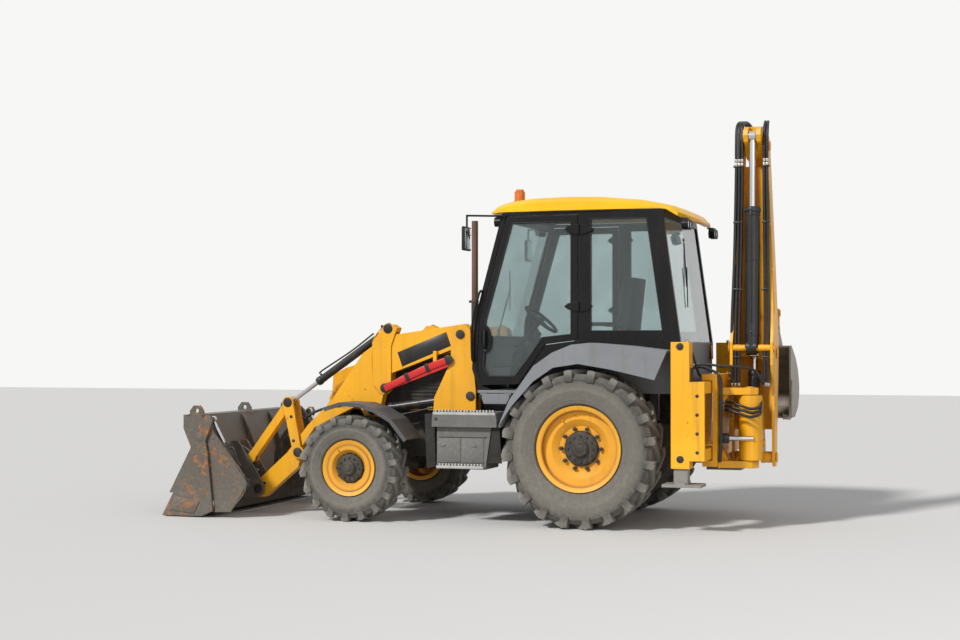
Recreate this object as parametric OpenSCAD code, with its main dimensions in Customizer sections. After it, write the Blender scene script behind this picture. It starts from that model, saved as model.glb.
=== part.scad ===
/* [Main layout] */
// distance from the rear axle to the middle of the whole length
mid_from_rear_axle = 1168; // [1000:1:1400]
// distance between the axles
wheelbase = 2170; // [1900:1:2400]
// half of the full width over bucket and rear frame
half_width = 1175; // [1000:1:1300]
// inner face of a chassis rail from the machine's middle
rail_y = 330; // [250:1:400]
// thickness of a chassis rail
rail_t = 70; // [40:1:100]
// top of the chassis rails
rail_top = 900; // [800:1:1000]

/* [Wheels] */
// rear tyre radius over the lugs
rear_tyre_r = 700; // [600:1:800]
// rear tyre width
rear_tyre_w = 430; // [300:1:600]
// rear rim seat radius
rear_rim_r = 362; // [300:1:420]
// rear wheel middle from the machine's middle
rear_wheel_y = 875; // [800:1:1000]
// front tyre radius over the lugs
front_tyre_r = 485; // [400:1:600]
// front tyre width
front_tyre_w = 330; // [200:1:420]
// front rim seat radius
front_rim_r = 236; // [180:1:300]
// front wheel middle from the machine's middle
front_wheel_y = 940; // [800:1:1000]
// kingpin line from the machine's middle
kingpin_y = 720; // [650:1:820]
// lugs on each half of a rear tyre
rear_lug_n = 20; // [8:1:30]
// lugs on each half of a front tyre
front_lug_n = 18; // [8:1:30]
// height of a rear lug
rear_lug_h = 34; // [10:1:60]
// height of a front lug
front_lug_h = 24; // [10:1:60]
// running clearance in wheel hubs
hub_gap = 0.8; // [0.3:0.1:5]
// wheel stub radius
stub_r = 60; // [40:1:90]
// seat clearance between a tyre and its rim
bead_gap = 0.3; // [0.1:0.1:1]
// radius of a rear hub
rear_hub_r = 150; // [100:1:180]
// radius of a front hub
front_hub_r = 128; // [90:1:150]

/* [Loader] */
// loader arm middle from the machine's middle
arm_y = 560; // [450:1:650]
// loader arm thickness
arm_t = 100; // [60:1:140]
// arm pivot height
arm_pivot_z = 1715; // [1500:1:1900]
// arm pivot distance ahead of the rear axle
arm_pivot_x = 1234; // [1000:1:1500]
// side play between moving plates
side_gap = 6; // [5:1:15]
// thickness of lug and lever plates
plate_t = 22; // [10:1:40]
// radius of the main loader pins
pin_r = 26; // [15:1:40]
// running clearance of a pin in its bore
pin_gap = 1; // [0.5:0.5:3]
// thickness of the bucket's shell
bucket_t = 16; // [8:1:25]
// radius of the hole in a lifting lug
lug_hole_r = 21; // [10:1:30]
// thickness of a lifting lug
lug_t = 20; // [10:1:30]

/* [Cab] */
// cab half width
cab_half_w = 800; // [600:1:900]
// thickness of cab pillars and walls
cab_t = 45; // [20:1:80]
// glass thickness
glass_t = 8; // [4:1:12]

/* [Backhoe] */
// slew line behind the rear axle
slew_x = -1430; // [-1600:1:-1200]
// slew line from the machine's middle as parked
slew_y = 550; // [0:1:620]
// boom half width at its foot
boom_half_w = 190; // [150:1:220]
// boom half width at its head
boom_head_w = 115; // [112:1:190]
// boom side plate thickness
boom_t = 25; // [10:1:40]
// digging bucket width
dig_w = 540; // [300:1:900]
// teeth on the digging bucket
tooth_n = 5; // [3:1:7]

/* [Hidden] */
$fn = 40;
// side play at the open end of a ram
eye_gap = 0.5;
// seat of one piece on the next
seat = 0.3;
e = 0.01;
rail_out = rail_y + rail_t;
arm_in = arm_y - arm_t / 2;
arm_out = arm_y + arm_t / 2;
rear_tyre_out = rear_wheel_y + rear_tyre_w / 2;
front_tyre_out = front_wheel_y + front_tyre_w / 2;

// loader points as [x, z]
arm_pivot = [arm_pivot_x, arm_pivot_z];
lift_base = [1135, 1145];
lift_rod = [2120, 1000];
lever_pivot = [2880, 590];
lever_top = [2987, 1066];
link_pin = [3393, 526];
arm_tip = [3283, 234];
crowd_base = [1960, 1770];
clam_pivot = [3645, 749];
clam_pin = [3546, 913];
clam_base = [3222, 322];
clam_ram_y = half_width - 85;

// backhoe points as [distance out from the slew line, z]
boom_foot = out(230, 620);
boom_head = out(330, 3400);
boom_ram_base = out(165, 750);
boom_ram_top = out(270, 1540);
dipper_ram_base = out(95, 1590);
dipper_pin = out(175, 3475);
bucket_pin = out(670, 1750);
bucket_ram_base = out(800, 3150);
tip_pivot = bucket_pin + [9, 335];
tip_top = bucket_pin + [-261, 163];
tip_link = bucket_pin + [-265, -175];

// everything is drawn from the rear axle's middle on the ground, then moved to the shared frame
module place() translate([-mid_from_rear_axle, 0, 0]) children();
module both() {
  children();
  mirror([0, 1, 0]) children();
}
module side(s) {
  if (s > 0) children();
  else mirror([0, 1, 0]) children();
}
// a backhoe point from its distance out from the slew line, as [y, z]
function out(u, z) = [slew_y - u, z];
function outs(v) = [for (p = v) out(p[0], p[1])];
function toward(p, q, d) = p + (q - p) * d / norm(q - p);
// points round a wheel of radius r at [x, r] from rows of [angle, height over the tread]
function over(x, r, v) = [for (p = v) [x, r] + (r + p[1]) * [cos(p[0]), sin(p[0])]];
function rev(v) = [for (i = [len(v) - 1:-1:0]) v[i]];
function shift(v, d) = [for (p = v) p + d];
// unit direction square to the line from p to q
function square_to(p, q) = [p[1] - q[1], q[0] - p[0]] / norm(q - p);
// a sheet of thickness t along an open line of points, thickened to the left of the line
function mitre(v, i) = i == 0 ? square_to(v[0], v[1])
  : i == len(v) - 1 ? square_to(v[i - 1], v[i])
  : let (a = square_to(v[i - 1], v[i]), b = square_to(v[i], v[i + 1])) (a + b) / (1 + a * b);
function sheet(v, t) = concat(v, rev([for (i = [0:len(v) - 1]) v[i] + mitre(v, i) * t]));

// a flat outline of [x, z] points made thick from y0 to y1
module plate_y(pts, y0, y1) translate([0, y1, 0]) rotate([90, 0, 0])
  linear_extrude(y1 - y0) polygon(pts);
// a flat outline of [y, z] points made thick from x0 to x1
module plate_x(pts, x0, x1) translate([x0, 0, 0]) rotate([90, 0, 90])
  linear_extrude(x1 - x0) polygon(pts);
// a flat outline of [x, y] points made thick from z0 to z1
module plate_z(pts, z0, z1) translate([0, 0, z0]) linear_extrude(z1 - z0) polygon(pts);
module box(a, b) translate(a) cube(b - a);
module disc_y(p, y0, y1, r) translate([p[0], y1, p[1]]) rotate([90, 0, 0])
  cylinder(h = y1 - y0, r = r);
module disc_x(p, x0, x1, r) translate([x0, p[0], p[1]]) rotate([0, 90, 0])
  cylinder(h = x1 - x0, r = r);
module disc_z(p, z0, z1, r) translate([p[0], p[1], z0]) cylinder(h = z1 - z0, r = r);
// a round bar between two [x, z] points at depth y
module bar_y(p, q, y, r) translate([p[0], y, p[1]])
  rotate([0, atan2(q[0] - p[0], q[1] - p[1]), 0]) cylinder(h = norm(q - p), r = r);
// a round bar between two [y, z] points at depth x
module bar_x(p, q, x, r) translate([x, p[0], p[1]])
  rotate([-atan2(q[0] - p[0], q[1] - p[1]), 0, 0]) cylinder(h = norm(q - p), r = r);
// a round bar between two points in space
module tube(a, b, r) {
  v = b - a;
  translate(a) rotate([0, acos(v[2] / norm(v)), atan2(v[1], v[0])]) cylinder(h = norm(v), r = r);
}

// tyre about its own axis: body plus two rows of slanted lugs, cut to a round tread
module tyre(r, w, rim_r, lugs, lug_h) {
  crown = r - lug_h;
  bead = rim_r + bead_gap;
  bead_w = w * 0.36 - bead_gap;
  mid = (bead + crown) / 2;
  half = [[bead, bead_w], [bead + 26, bead_w], [bead + 40, w * 0.42], [mid, w * 0.5],
    [crown - 45, w * 0.48], [crown - 6, w * 0.38], [crown, 0]];
  rotate([90, 0, 0]) {
    rotate_extrude($fn = 48)
      polygon(concat([for (p = half) [p[0], -p[1]]], [for (i = [5:-1:0]) half[i]]));
    intersection() {
      cylinder(h = w * 0.98, r = r, center = true, $fn = 64);
      for (s = [-1, 1])
        for (i = [0:lugs - 1])
          rotate([0, 0, 360 / lugs * (i + (s > 0 ? 0.5 : 0))])
            translate([crown - 14, 0, s * w * 0.24])
              rotate([s * 42, 0, 0])
                translate([0, -w * 0.055, -w * 0.32])
                  cube([lug_h + 30, w * 0.11, w * 0.64]);
    }
  }
}
// rim about its own axis, outside towards +z of its turning: flanges, barrel, dished disc and hub
module rim(r, w, dish, hub_r) {
  bore = stub_r + hub_gap;
  seat_w = w * 0.36;
  rotate([90, 0, 0]) {
    rotate_extrude($fn = 48)
      polygon([[0, dish + 72], [hub_r * 0.42, dish + 70], [hub_r * 0.5, dish + 58],
        [hub_r * 0.52, dish + 40], [hub_r * 0.9, dish + 34], [hub_r, dish + 22], [hub_r, dish - 8],
        [r * 0.55, dish - 6], [r * 0.72, dish + 40], [r - 22, dish + 44], [r - 22, seat_w],
        [r + 20, seat_w + 16], [r + 20, seat_w], [r, seat_w], [r, -seat_w], [r + 20, -seat_w],
        [r + 20, -seat_w - 16], [r - 22, -seat_w - 16],
        [r - 22, dish - 140 < -w * 0.3 ? -w * 0.3 : dish + 10], [r * 0.72, dish + 14],
        [r * 0.55, dish - 24], [130, dish - 30], [130, dish - 90], [bore, dish - 90],
        [bore, dish + 30], [0, dish + 30]]);
    // cover bolts of the hub and wheel nuts
    for (c = [[12, hub_r * 0.76, 9, dish + 30, 20], [10, r * 0.5, 16, dish - 10, 34]])
      for (i = [0:c[0] - 1])
        rotate([0, 0, 360 / c[0] * i])
          translate([c[1], 0, c[3]])
            cylinder(h = c[4], r = c[2], $fn = 6);
  }
}

// chassis rail outline as [x, z]: arched over the rear axle
front_end = wheelbase + 250;
rail_pts = [[-1000, 560], [-170, 560], [-140, 815], [140, 815], [170, 560], [front_end, 560],
  [front_end, rail_top], [-1000, rail_top]];
// tower plates that carry a loader arm, as [x, z]
tower_pts = [[1084, 760], [1520, 760], [1490, 1130], [1330, 1460], [1320, 1760], [1280, 1800],
  [1180, 1800], [1140, 1760], [1084, 1200]];
bonnet_hinge = [1110, 1640];
module chassis_frame() color("dimgray") {
  // columns: x of a cross member, its length, bottom, top
  for (c = [[-960, 80, 600, 860], [260, 80, 600, 860], [1100, 80, 600, 860],
      [1660, 80, 600, 700], [front_end - 80, 80, 600, 800]])
    box([c[0], -rail_out, c[2]], [c[0] + c[1], rail_out, c[3]]);
  both() {
    plate_y(rail_pts, rail_y, rail_out);
    for (y = [arm_in - side_gap - plate_t, arm_out + side_gap]) plate_y(tower_pts, y, y + plate_t);
    box([1084, rail_out - e, 700], [1500, arm_out + side_gap + plate_t, 780]);
    disc_y(arm_pivot, arm_in - side_gap - plate_t, arm_out + side_gap + plate_t + 8, pin_r);
    disc_y(lift_base, arm_in - side_gap - plate_t, arm_out + side_gap + plate_t + 8, pin_r);
    box([front_end + 10, 350, 980], [front_end + 80, 380, 1000 - seat]);
    for (y = [200, 259]) plate_y([[1090, 1580], [1100, 1580], [1128, 1632], [1124, 1652],
      [1108, 1658], [1090, 1650]], y, y + 15);
    disc_y(bonnet_hinge, 200, 274, 9);
  }
  box([front_end, -420, 560], [front_end + 100, 420, 990]);
  box([1900, -rail_y - e, 600], [front_end, rail_y + e, 650]);
  box([1084, -rail_out, 820], [1100, rail_out, 1618]);
}
module engine_block() color("gray") {
  box([1300, -240, 700], [2250, 240, 1330]);
  box([2260 - e, -300, 720], [2330, 300, 1300]);
  box([2240, -60, 1000], [2270, 60, 1100]);
}
nose = front_end + 220;
bonnet_pts = [[1110, 1000], [1110, 1640], [1900, 1560], [nose - 160, 1400], [nose - 20, 1330],
  [nose, 1080], [nose - 40, 1000]];
bonnet_in = [[1100, 990], [1100, 1622], [1900, 1542], [nose - 170, 1384], [nose - 40, 1318],
  [nose - 20, 1080], [nose - 50, 990]];
module bonnet() color("gold") {
  difference() {
    plate_y(bonnet_pts, -385, 385);
    plate_y(bonnet_in, -367, 367);
    for (z = [1090:40:1290]) box([nose - 60, -300, z], [nose + 20, 300, z + 20]);
    both() box([1100, 190, 1560], [1150, 284, 1660]);
    both() for (x = [1900:60:2260]) box([x, 360, 1180], [x + 26, 390, 1330]);
  }
  both() difference() {
    union() {
      plate_y([[1110, 1622], [1175, 1615], [1175, 1630], [1110, 1657]], 222, 252);
      disc_y(bonnet_hinge, 222, 252, 18);
    }
    disc_y(bonnet_hinge, 221, 253, 9 + pin_gap);
  }
}
module exhaust_stack() color("saddlebrown") {
  difference() {
    translate([1456, -446, 900]) cylinder(h = 1950, r = 32);
    translate([1456, -446, 2700]) cylinder(h = 200, r = 27);
  }
  translate([1456, -446, 1440]) cylinder(h = 610, r = 35.5);
  box([1430, -440, 900], [1482, -345, 916]);
}
module front_axle() color("dimgray") {
  box([wheelbase - 60, -640, 430], [wheelbase + 60, 640, 540]);
  plate_x([[-200, 400], [200, 400], [150, 600], [-150, 600]], wheelbase - 110, wheelbase + 110);
  both() {
    for (z = [360, 570])
      box([wheelbase - 60, 600, z], [wheelbase + 60, kingpin_y + 50, z + 40]);
    box([wheelbase - 60, 600, 360], [wheelbase + 60, 640, 610]);
    disc_z([wheelbase, kingpin_y], 360, 616, 22);
  }
}
module steering_knuckle(s) color("dimgray") side(s) {
  difference() {
    union() {
      disc_z([wheelbase, kingpin_y], 406, 564, 55);
      disc_y([wheelbase, front_tyre_r], kingpin_y + 10, front_wheel_y - 20, 78);
    }
    disc_z([wheelbase, kingpin_y], 300, 700, 22 + pin_gap);
  }
  disc_y([wheelbase, front_tyre_r], front_wheel_y - 40, front_wheel_y + 60, stub_r);
}
module front_tyre(s) color("dimgray") side(s)
  translate([wheelbase, front_wheel_y, front_tyre_r])
    tyre(front_tyre_r, front_tyre_w, front_rim_r, front_lug_n, front_lug_h);
module front_rim(s) color("gold") side(s)
  translate([wheelbase, front_wheel_y, front_tyre_r])
    mirror([0, 1, 0]) rim(front_rim_r, front_tyre_w, 80, front_hub_r);
module rear_axle() color("dimgray") {
  disc_y([0, rear_tyre_r], -rear_wheel_y + 130, rear_wheel_y - 130, 110);
  disc_y([0, rear_tyre_r], -rear_wheel_y - 60, rear_wheel_y + 60, stub_r);
  translate([0, 0, rear_tyre_r]) sphere(r = 230);
  both() box([-90, rail_y, rear_tyre_r], [90, rail_out, 815]);
}
module rear_tyre(s) color("dimgray") side(s) translate([0, rear_wheel_y, rear_tyre_r])
  tyre(rear_tyre_r, rear_tyre_w, rear_rim_r, rear_lug_n, rear_lug_h);
module rear_rim(s) color("gold") side(s) translate([0, rear_wheel_y, rear_tyre_r])
  mirror([0, 1, 0]) rim(rear_rim_r, rear_tyre_w, 60, rear_hub_r);

// front mudguard line, rows of [angle, height over the tread] from its front edge back and down
guard_line = over(wheelbase, front_tyre_r, [[66.6, 119.7], [82.5, 125.3], [101.2, 123.5],
  [115.8, 126.8], [133.7, 144.5], [154.6, 156.9]]);
module front_mudguards() color("dimgray") both() {
  plate_y(sheet(guard_line, 14), 700, front_tyre_out);
  plate_y(sheet([for (p = guard_line) p + [0, -3]], 34), front_tyre_out - 20, front_tyre_out);
  g = guard_line[4];
  box([g[0] - 45, rail_out, g[1] - 78], [g[0] - 15, 740, g[1] - 58]);
  plate_y([for (p = [[-45, -70], [-15, -70], [-15, -28], [-45, -60]]) g + p], 700, 740);
}

// cab outlines as [x, z]
// fender lines, rows of [angle, height over the tread] from the front foot over and back
fender_top = over(0, rear_tyre_r, [[14.5, 43.6], [34.6, 47.6], [61.8, 128.6], [75.6, 176.5],
  [87.2, 218.1], [97.7, 242.5], [117.4, 322.9], [132.9, 483.8]]);
fender_low = over(0, rear_tyre_r, [[138.6, 224.6], [113.5, 64.5], [91.1, 49.1], [73.4, 46],
  [56.2, 11.4], [32.5, 0]]);
cab_side = [[1012, 1205], [1012, 1236], [1065, 1397], [1040, 1850], [775, 2815], [-700, 2815],
  [-860, 1640], [-860, 1205]];
// the door's lower rear corner keeps clear of the fender, as [angle, height over the tread]
door_hole = concat([[600, 1100], [960, 1236], [1021, 1397], [996, 1850], [739, 2786], [64, 2786],
  [64, 1656]], over(0, rear_tyre_r, [[68.1, 287.2], [56.9, 190.9], [42.3, 127.2]]));
door_out = concat([[965, 1250], [1015, 1400], [990, 1850], [735, 2780], [70, 2780], [70, 1660]],
  over(0, rear_tyre_r, [[68, 294.3], [56.7, 198.4], [42.1, 138.4]]));
door_in = [[905, 1330], [955, 1410], [932, 1840], [680, 2720], [130, 2720], [130, 1710],
  [400, 1680], [540, 1480], [660, 1330]];
hinge_z = [1960, 2650];
quarter_in = [[-50, 2740], [-560, 2740], [-700, 1740], [-50, 1740]];
module cab_frame() color("black") {
  both() difference() {
    plate_y(cab_side, cab_half_w - cab_t, cab_half_w);
    plate_y(door_hole, cab_half_w - cab_t - 5, cab_half_w + 5);
    plate_y(quarter_in, cab_half_w - cab_t - 5, cab_half_w + 5);
    plate_y(concat([for (p = fender_top) p + [seat, seat]], [[-900, 1562], [-900, 850]]),
      cab_half_w - cab_t - 5, cab_half_w + 5);
  }
  // rear halves of the oval hinge covers
  both() for (z = hinge_z)
    plate_y(shift([[44, -46], [-10, -38], [-56, -18], [-74, 0], [-56, 18], [-10, 38], [44, 46]],
      [0, z]), cab_half_w - e, cab_half_w + 14);
  // front wall and header
  plate_y([[1065, 1397], [1047, 1700], [1002, 1700], [1020, 1397], [967, 1236], [967, 1205],
    [1012, 1205], [1012, 1236]], -cab_half_w + cab_t - e, cab_half_w - cab_t + e);
  plate_y([[800, 2740], [775, 2815], [700, 2815], [755, 2740]],
    -cab_half_w + cab_t - e, cab_half_w - cab_t + e);
  // rear header and sill
  plate_y([[-700, 2815], [-630, 2815], [-645, 2740], [-710, 2740]],
    -cab_half_w + cab_t - e, cab_half_w - cab_t + e);
  plate_y([[-860, 1640], [-815, 1640], [-815, 1205], [-860, 1205]],
    -cab_half_w + cab_t - e, cab_half_w - cab_t + e);
}
module cab_floor() color("silver") {
  both() {
    plate_y(concat(fender_top, fender_low), rear_tyre_out + 6, rear_tyre_out + 22);
    plate_y(sheet(rev(fender_top), -16), 600, rear_tyre_out + 10);
    plate_y(concat([[580, 1181]], [for (i = [2:6]) fender_top[i] + [0, -9]],
      [[-800, fender_top[7][1] - 7], [-800, 1181]]), 600, 618);
    // sill panel below the door
    difference() {
      plate_y([[1000, 1204], [676, 1204], [740, 1080], [955, 1080]], cab_half_w - 24, cab_half_w - 4);
      plate_y([[930, 1180], [760, 1180], [770, 1168], [925, 1168]], cab_half_w - 10, cab_half_w);
    }
    box([680, 640, 1181 - e], [1000, cab_half_w - 23, 1190]);
    for (x = [-420, 600]) box([x, rail_y + 10, rail_top], [x + 80, rail_out - 10, 1181]);
  }
  box([-860, -618, 1180], [1012, 618, 1205]);
  both() box([640, 600, 1180], [1012, cab_half_w, 1205]);
}
module cab_roof() color("gold") {
  plate_y([[918, 2830], [880, 2880], [546, 2940], [129, 2950], [-311, 2930], [-641, 2890],
    [-742, 2850], [-940, 2760], [-940, 2725], [-860, 2725], [-712, 2815], [775, 2815],
    [800, 2800], [900, 2800]], -cab_half_w - 10, cab_half_w + 10);
  disc_z([700, 500], 2880, 2925, 62);
}
// glass sits in the walls at half their thickness
module cab_glass() color("lightblue", 0.35) {
  plate_y([[1041, 1700], [1032, 1850], [783, 2740], [775, 2740], [1023, 1850], [1032, 1700]],
    -cab_half_w + cab_t, cab_half_w - cab_t);
  plate_y([[-848, 1640], [-840, 1640], [-690, 2740], [-698, 2740]],
    -cab_half_w + cab_t, cab_half_w - cab_t);
  both() plate_y(quarter_in, cab_half_w - 25, cab_half_w - 25 + glass_t);
}
hinge_line = [60, cab_half_w + 14];
module door(s) color("black") side(s) {
  difference() {
    plate_y(door_out, cab_half_w - cab_t + 5, cab_half_w);
    plate_y(door_in, cab_half_w - cab_t, cab_half_w + 5);
  }
  for (z = hinge_z) {
    disc_z(hinge_line, z - 40, z + 40, 10);
    plate_y(shift([[60, -46], [120, -38], [170, -18], [190, 0], [170, 18], [120, 38], [60, 46]],
      [0, z]), cab_half_w + 6, cab_half_w + 16);
    box([90, cab_half_w - e, z - 30], [160, cab_half_w + 7, z + 30]);
  }
  // oval latch plate with its pull
  difference() {
    plate_y(shift([for (a = [0:30:330]) [60 * cos(a), 130 * sin(a)]], [936, 1670]),
      cab_half_w - e, cab_half_w + 14);
    plate_y(shift([for (a = [0:30:330]) [36 * cos(a), 96 * sin(a)]], [936, 1670]),
      cab_half_w + 4, cab_half_w + 20);
  }
  box([926, cab_half_w + 3, 1590], [946, cab_half_w + 20, 1750]);
}
module door_glass(s) color("lightblue", 0.35) side(s)
  plate_y(door_in, cab_half_w - 25, cab_half_w - 25 + glass_t);
module operator_seat() color("dimgray") {
  box([-260, -250, 1560], [240, 250, 1660]);
  plate_y([[-300, 1600], [-190, 1640], [-220, 2250], [-330, 2250]], -240, 240);
  box([-160, -160, 1205], [140, 160, 1570]);
}
wheel_mid = [640, 0, 1860];
module cab_controls() color("black") {
  plate_y([[800, 1205], [940, 1205], [890, 1540], [800, 1650], [750, 1610]], -90, 90);
  translate(wheel_mid) rotate([0, -40, 0]) {
    rotate_extrude() translate([180, 0]) circle(r = 16);
    for (a = [30, 150, 270]) rotate([0, 0, a]) translate([0, -9, -8]) cube([176, 18, 12]);
    translate([0, 0, -24]) cylinder(h = 34, r = 34);
    translate([0, 0, -335]) cylinder(h = 325, r = 24);
  }
  box([-780, -420, 1205], [-560, 420, 1720]);
  for (y = [-150, 150]) {
    bar_y([-640, 1710], [-560, 1960], y, 12);
    translate([-560, y, 1960]) sphere(r = 26, $fn = 24);
  }
}
module side_tanks() color("darkgray") both() {
  plate_y([[1318, 880], [800, 880], [858, 500], [1318, 500]], 660, 1040);
  plate_y([[738, 880], [738, 950], [750, 1012], [1340, 1012], [1350, 950], [1350, 880]], 660, 1090);
  // serrated treads: upper edge and hanging lower step
  for (x = [760:60:1300]) box([x, 1060, 1012 - e], [x + 30, 1090, 1030]);
  box([880, 1039, 512], [1300, 1080, 530]);
  for (x = [890:60:1270]) box([x, 1050, 530 - e], [x + 24, 1080, 548]);
  box([850, 1039, 790], [1300, 1052, 800]);
  box([900, rail_out, 700], [1060, 661, 760]);
}
module lamps_and_mirrors() color("black") {
  both() {
    for (c = [[840, 2740, 1], [-890, 2680, -1]]) difference() {
      union() {
        disc_x([600, c[1]], c[0] - 30, c[0] + 30, 44);
        disc_x([710, c[1]], c[0] - 30, c[0] + 30, 44);
        box([c[0] - 15, 600, c[1] - 10], [c[0] + 15, 710, c[1] + 10]);
      }
      for (y = [600, 710])
        disc_x([y, c[1]], c[2] > 0 ? c[0] + 22 : c[0] - 31, c[2] > 0 ? c[0] + 31 : c[0] - 22, 38);
    }
    box([835, 630, 2745], [875, 670, 2800]);
    box([-915, 630, 2685], [-885, 670, 2725]);
    box([745, cab_half_w, 2765], [778, cab_half_w + 12, 2799]);
    tube([766, cab_half_w + 12, 2785], [1060, 960, 2785], 9);
    tube([1060, 960, 2793], [1060, 960, 2640], 9);
    box([1048, 880, 2470], [1072, 1060, 2680]);
  }
}
module beacon() color("orange") {
  disc_z([700, 500], 2925, 2945, 58);
  disc_z([700, 500], 2945, 3030, 48);
  disc_z([700, 500], 3030, 3050, 38);
}

// loader arm outlines as [x, z]
arm_pts = [[1150, 1640], [1150, 1790], [1200, 1812], [1886, 1715], [2130, 1600], [2216, 1541],
  [2555, 1073], [2786, 852], [3006, 582], [3278, 341], [3370, 280], [3370, 190], [3300, 150],
  [3237, 152], [2886, 449], [2837, 663], [2721, 826], [2534, 921], [2260, 1050], [2200, 940],
  [2060, 940], [2010, 1155], [1929, 1231], [1957, 1340], [1244, 1604]];
knee_pts = [[1869, 1776], [1920, 1810], [1990, 1810], [2120, 1640], [2110, 1240], [2000, 1150],
  [1929, 1231], [1930, 1607]];
module loader_arms() color("gold") {
  both() {
    difference() {
      union() {
        plate_y(arm_pts, arm_in, arm_out);
        plate_y(knee_pts, arm_in - 14, arm_out + 14);
        disc_y(arm_pivot, arm_in - 4, arm_out + 4, 85);
        disc_y(lever_pivot, arm_in - side_gap - plate_t - 2, arm_out + side_gap + plate_t + 2, pin_r);
        disc_y(arm_tip, arm_in - 58, arm_out + 58, pin_r);
      }
      disc_y(arm_pivot, arm_in - 20, arm_out + 20, pin_r + pin_gap);
      plate_y([[1980, 850], [2280, 850], [2280, 1100], [2130, 1130], [1980, 1200]],
        arm_y - 34, arm_y + 34);
      plate_y([[1890, 1690], [1870, 1850], [2060, 1850], [2200, 1720], [2330, 1500], [2170, 1480]],
        arm_y - 42, arm_y + 42);
    }
    disc_y(crowd_base, arm_in, arm_out, pin_r);
    for (y = [arm_y - 34, arm_y + 28 + eye_gap]) disc_y(lift_rod, y - e, y + 6 - eye_gap + e, pin_r);
    // seats of the safety strut
    disc_y([1975, 1215], arm_out, arm_out + 36, 20);
    box([1466, arm_out - e, 1440], [1500, arm_out + 36, 1560]);
  }
  disc_y([2640, 930], -arm_in - 5, arm_in + 5, 55);
}
module safety_strut() color("red") {
  plate_y([[1985, 1175], [2000, 1235], [1960, 1258], [1370, 1490], [1340, 1480], [1330, 1440],
    [1350, 1412]], arm_out + 36, arm_out + 50);
}
module lever_plate(y) difference() {
  union() {
    plate_y([[2835, 560], [2925, 560], [3040, 1050], [2990, 1110], [2932, 1060]], y, y + plate_t);
    disc_y(lever_pivot, y, y + plate_t, 60);
    disc_y(lever_top, y, y + plate_t, 56);
  }
  disc_y(lever_pivot, y - 1, y + plate_t + 1, pin_r + pin_gap);
}
module bell_cranks() color("gold") both() {
  lever_plate(arm_in - side_gap - plate_t);
  lever_plate(arm_out + side_gap);
  disc_y(lever_top, arm_in - side_gap - e, arm_y - 23 - eye_gap, pin_r);
  disc_y(lever_top, arm_y + 23 + eye_gap, arm_out + side_gap + e, pin_r);
}
link_side = square_to(lever_top, link_pin) * 38;
module bucket_links() color("dimgray") both() for (y = [arm_y - 46, arm_y + 28]) difference() {
  union() {
    plate_y([lever_top - link_side, lever_top + link_side, link_pin + link_side,
      link_pin - link_side], y, y + 18);
    disc_y(lever_top, y, y + 18, 48);
    disc_y(link_pin, y, y + 18, 48);
  }
  disc_y(lever_top, y - 1, y + 19, pin_r + pin_gap);
}
// loader bucket lines as [x, z]: the back sheet, and the end plates that reach behind it
back_line = [[3829, 956], [3654, 958], [3545, 640], [3475, 330], [3460, 170], [3520, 46]];
end_pts = [[3829, 956], [3654, 958], [3380, 640], [3160, 319], [3332, 52], [3500, 46],
  [3499, 118], [3734, 614], [3829, 829]];
module loader_bucket() color("gray") {
  both() {
    plate_y(end_pts, half_width - 50, half_width - 30);
    for (y = [arm_in - 34 - plate_t, arm_out + 34]) difference() {
      plate_y([[3222, 262], [3222, 200], [3262, 168], [3465, 130], [3480, 330], [3560, 690],
        [3500, 690], [3310, 410]], y, y + plate_t);
      disc_y(arm_tip, y - 1, y + plate_t + 1, pin_r + pin_gap);
    }
    plate_y([[3393, 566], [3360, 545], [3356, 510], [3393, 486], [3510, 440], [3545, 600],
      [3500, 640]], arm_y - 22, arm_y + 22);
    disc_y(link_pin, arm_y - 28 + eye_gap, arm_y + 28 - eye_gap, 40);
    disc_y(clam_pivot, half_width - 50, half_width, 40);
    disc_y(clam_base, clam_ram_y - 24, half_width - 40, 20);
    box([3395, half_width - 165, 250], [3480, half_width - 145, 330]);
    plate_y([[3190, 290], [3250, 260], [3480, 230], [3480, 330], [3250, 380], [3190, 350]],
      clam_ram_y - 50, clam_ram_y - 36);
    disc_y(clam_base, clam_ram_y - 50, clam_ram_y, 20);
  }
  plate_y(sheet(back_line, bucket_t), -half_width + 32, half_width - 32);
  // stiffening ribs behind the back sheet and a top bar
  for (y = [275 - half_width, -300, 300, half_width - 275])
    plate_y([[3640, 940], [3550, 660], [3480, 360], [3500, 640], [3590, 900]], y - 8, y + 8);
  plate_y([[3829, 957], [3829, 920], [3720, 930], [3720, 957]], -half_width + 32, half_width - 32);
  for (y = [175 - half_width, 0, half_width - 175]) difference() {
    plate_y([[3690, 950], [3835, 950], [3835, 990], [3795, 1040], [3725, 1040], [3690, 990]],
      y - lug_t / 2, y + lug_t / 2);
    disc_y([3760, 990], y - lug_t, y + lug_t, lug_hole_r);
  }
}
jaw_side = [[3600, 800], [3640, 812], [3700, 790], [3740, 640], [3960, 224], [3921, 222],
  [4036, 5], [3625, 8], [3505, 60], [3510, 118], [3560, 600]];
module clam_jaw() color("dimgray") {
  both() {
    difference() {
      union() {
        plate_y(jaw_side, half_width - 24, half_width);
        plate_y([[3590, 700], [3700, 720], [3690, 800], [3580, 955], [3530, 950], [3510, 900]],
          half_width - 24, half_width);
      }
      disc_y(clam_pivot, half_width - 30, half_width + 5, 40 + pin_gap);
    }
    disc_y(clam_pin, clam_ram_y + 20 + eye_gap, half_width - 10, 18);
  }
  plate_y([[4036, 5], [4030, 27], [3640, 36], [3556, 78], [3546, 58], [3625, 8]],
    -half_width + 20, half_width - 20);
}

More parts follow.
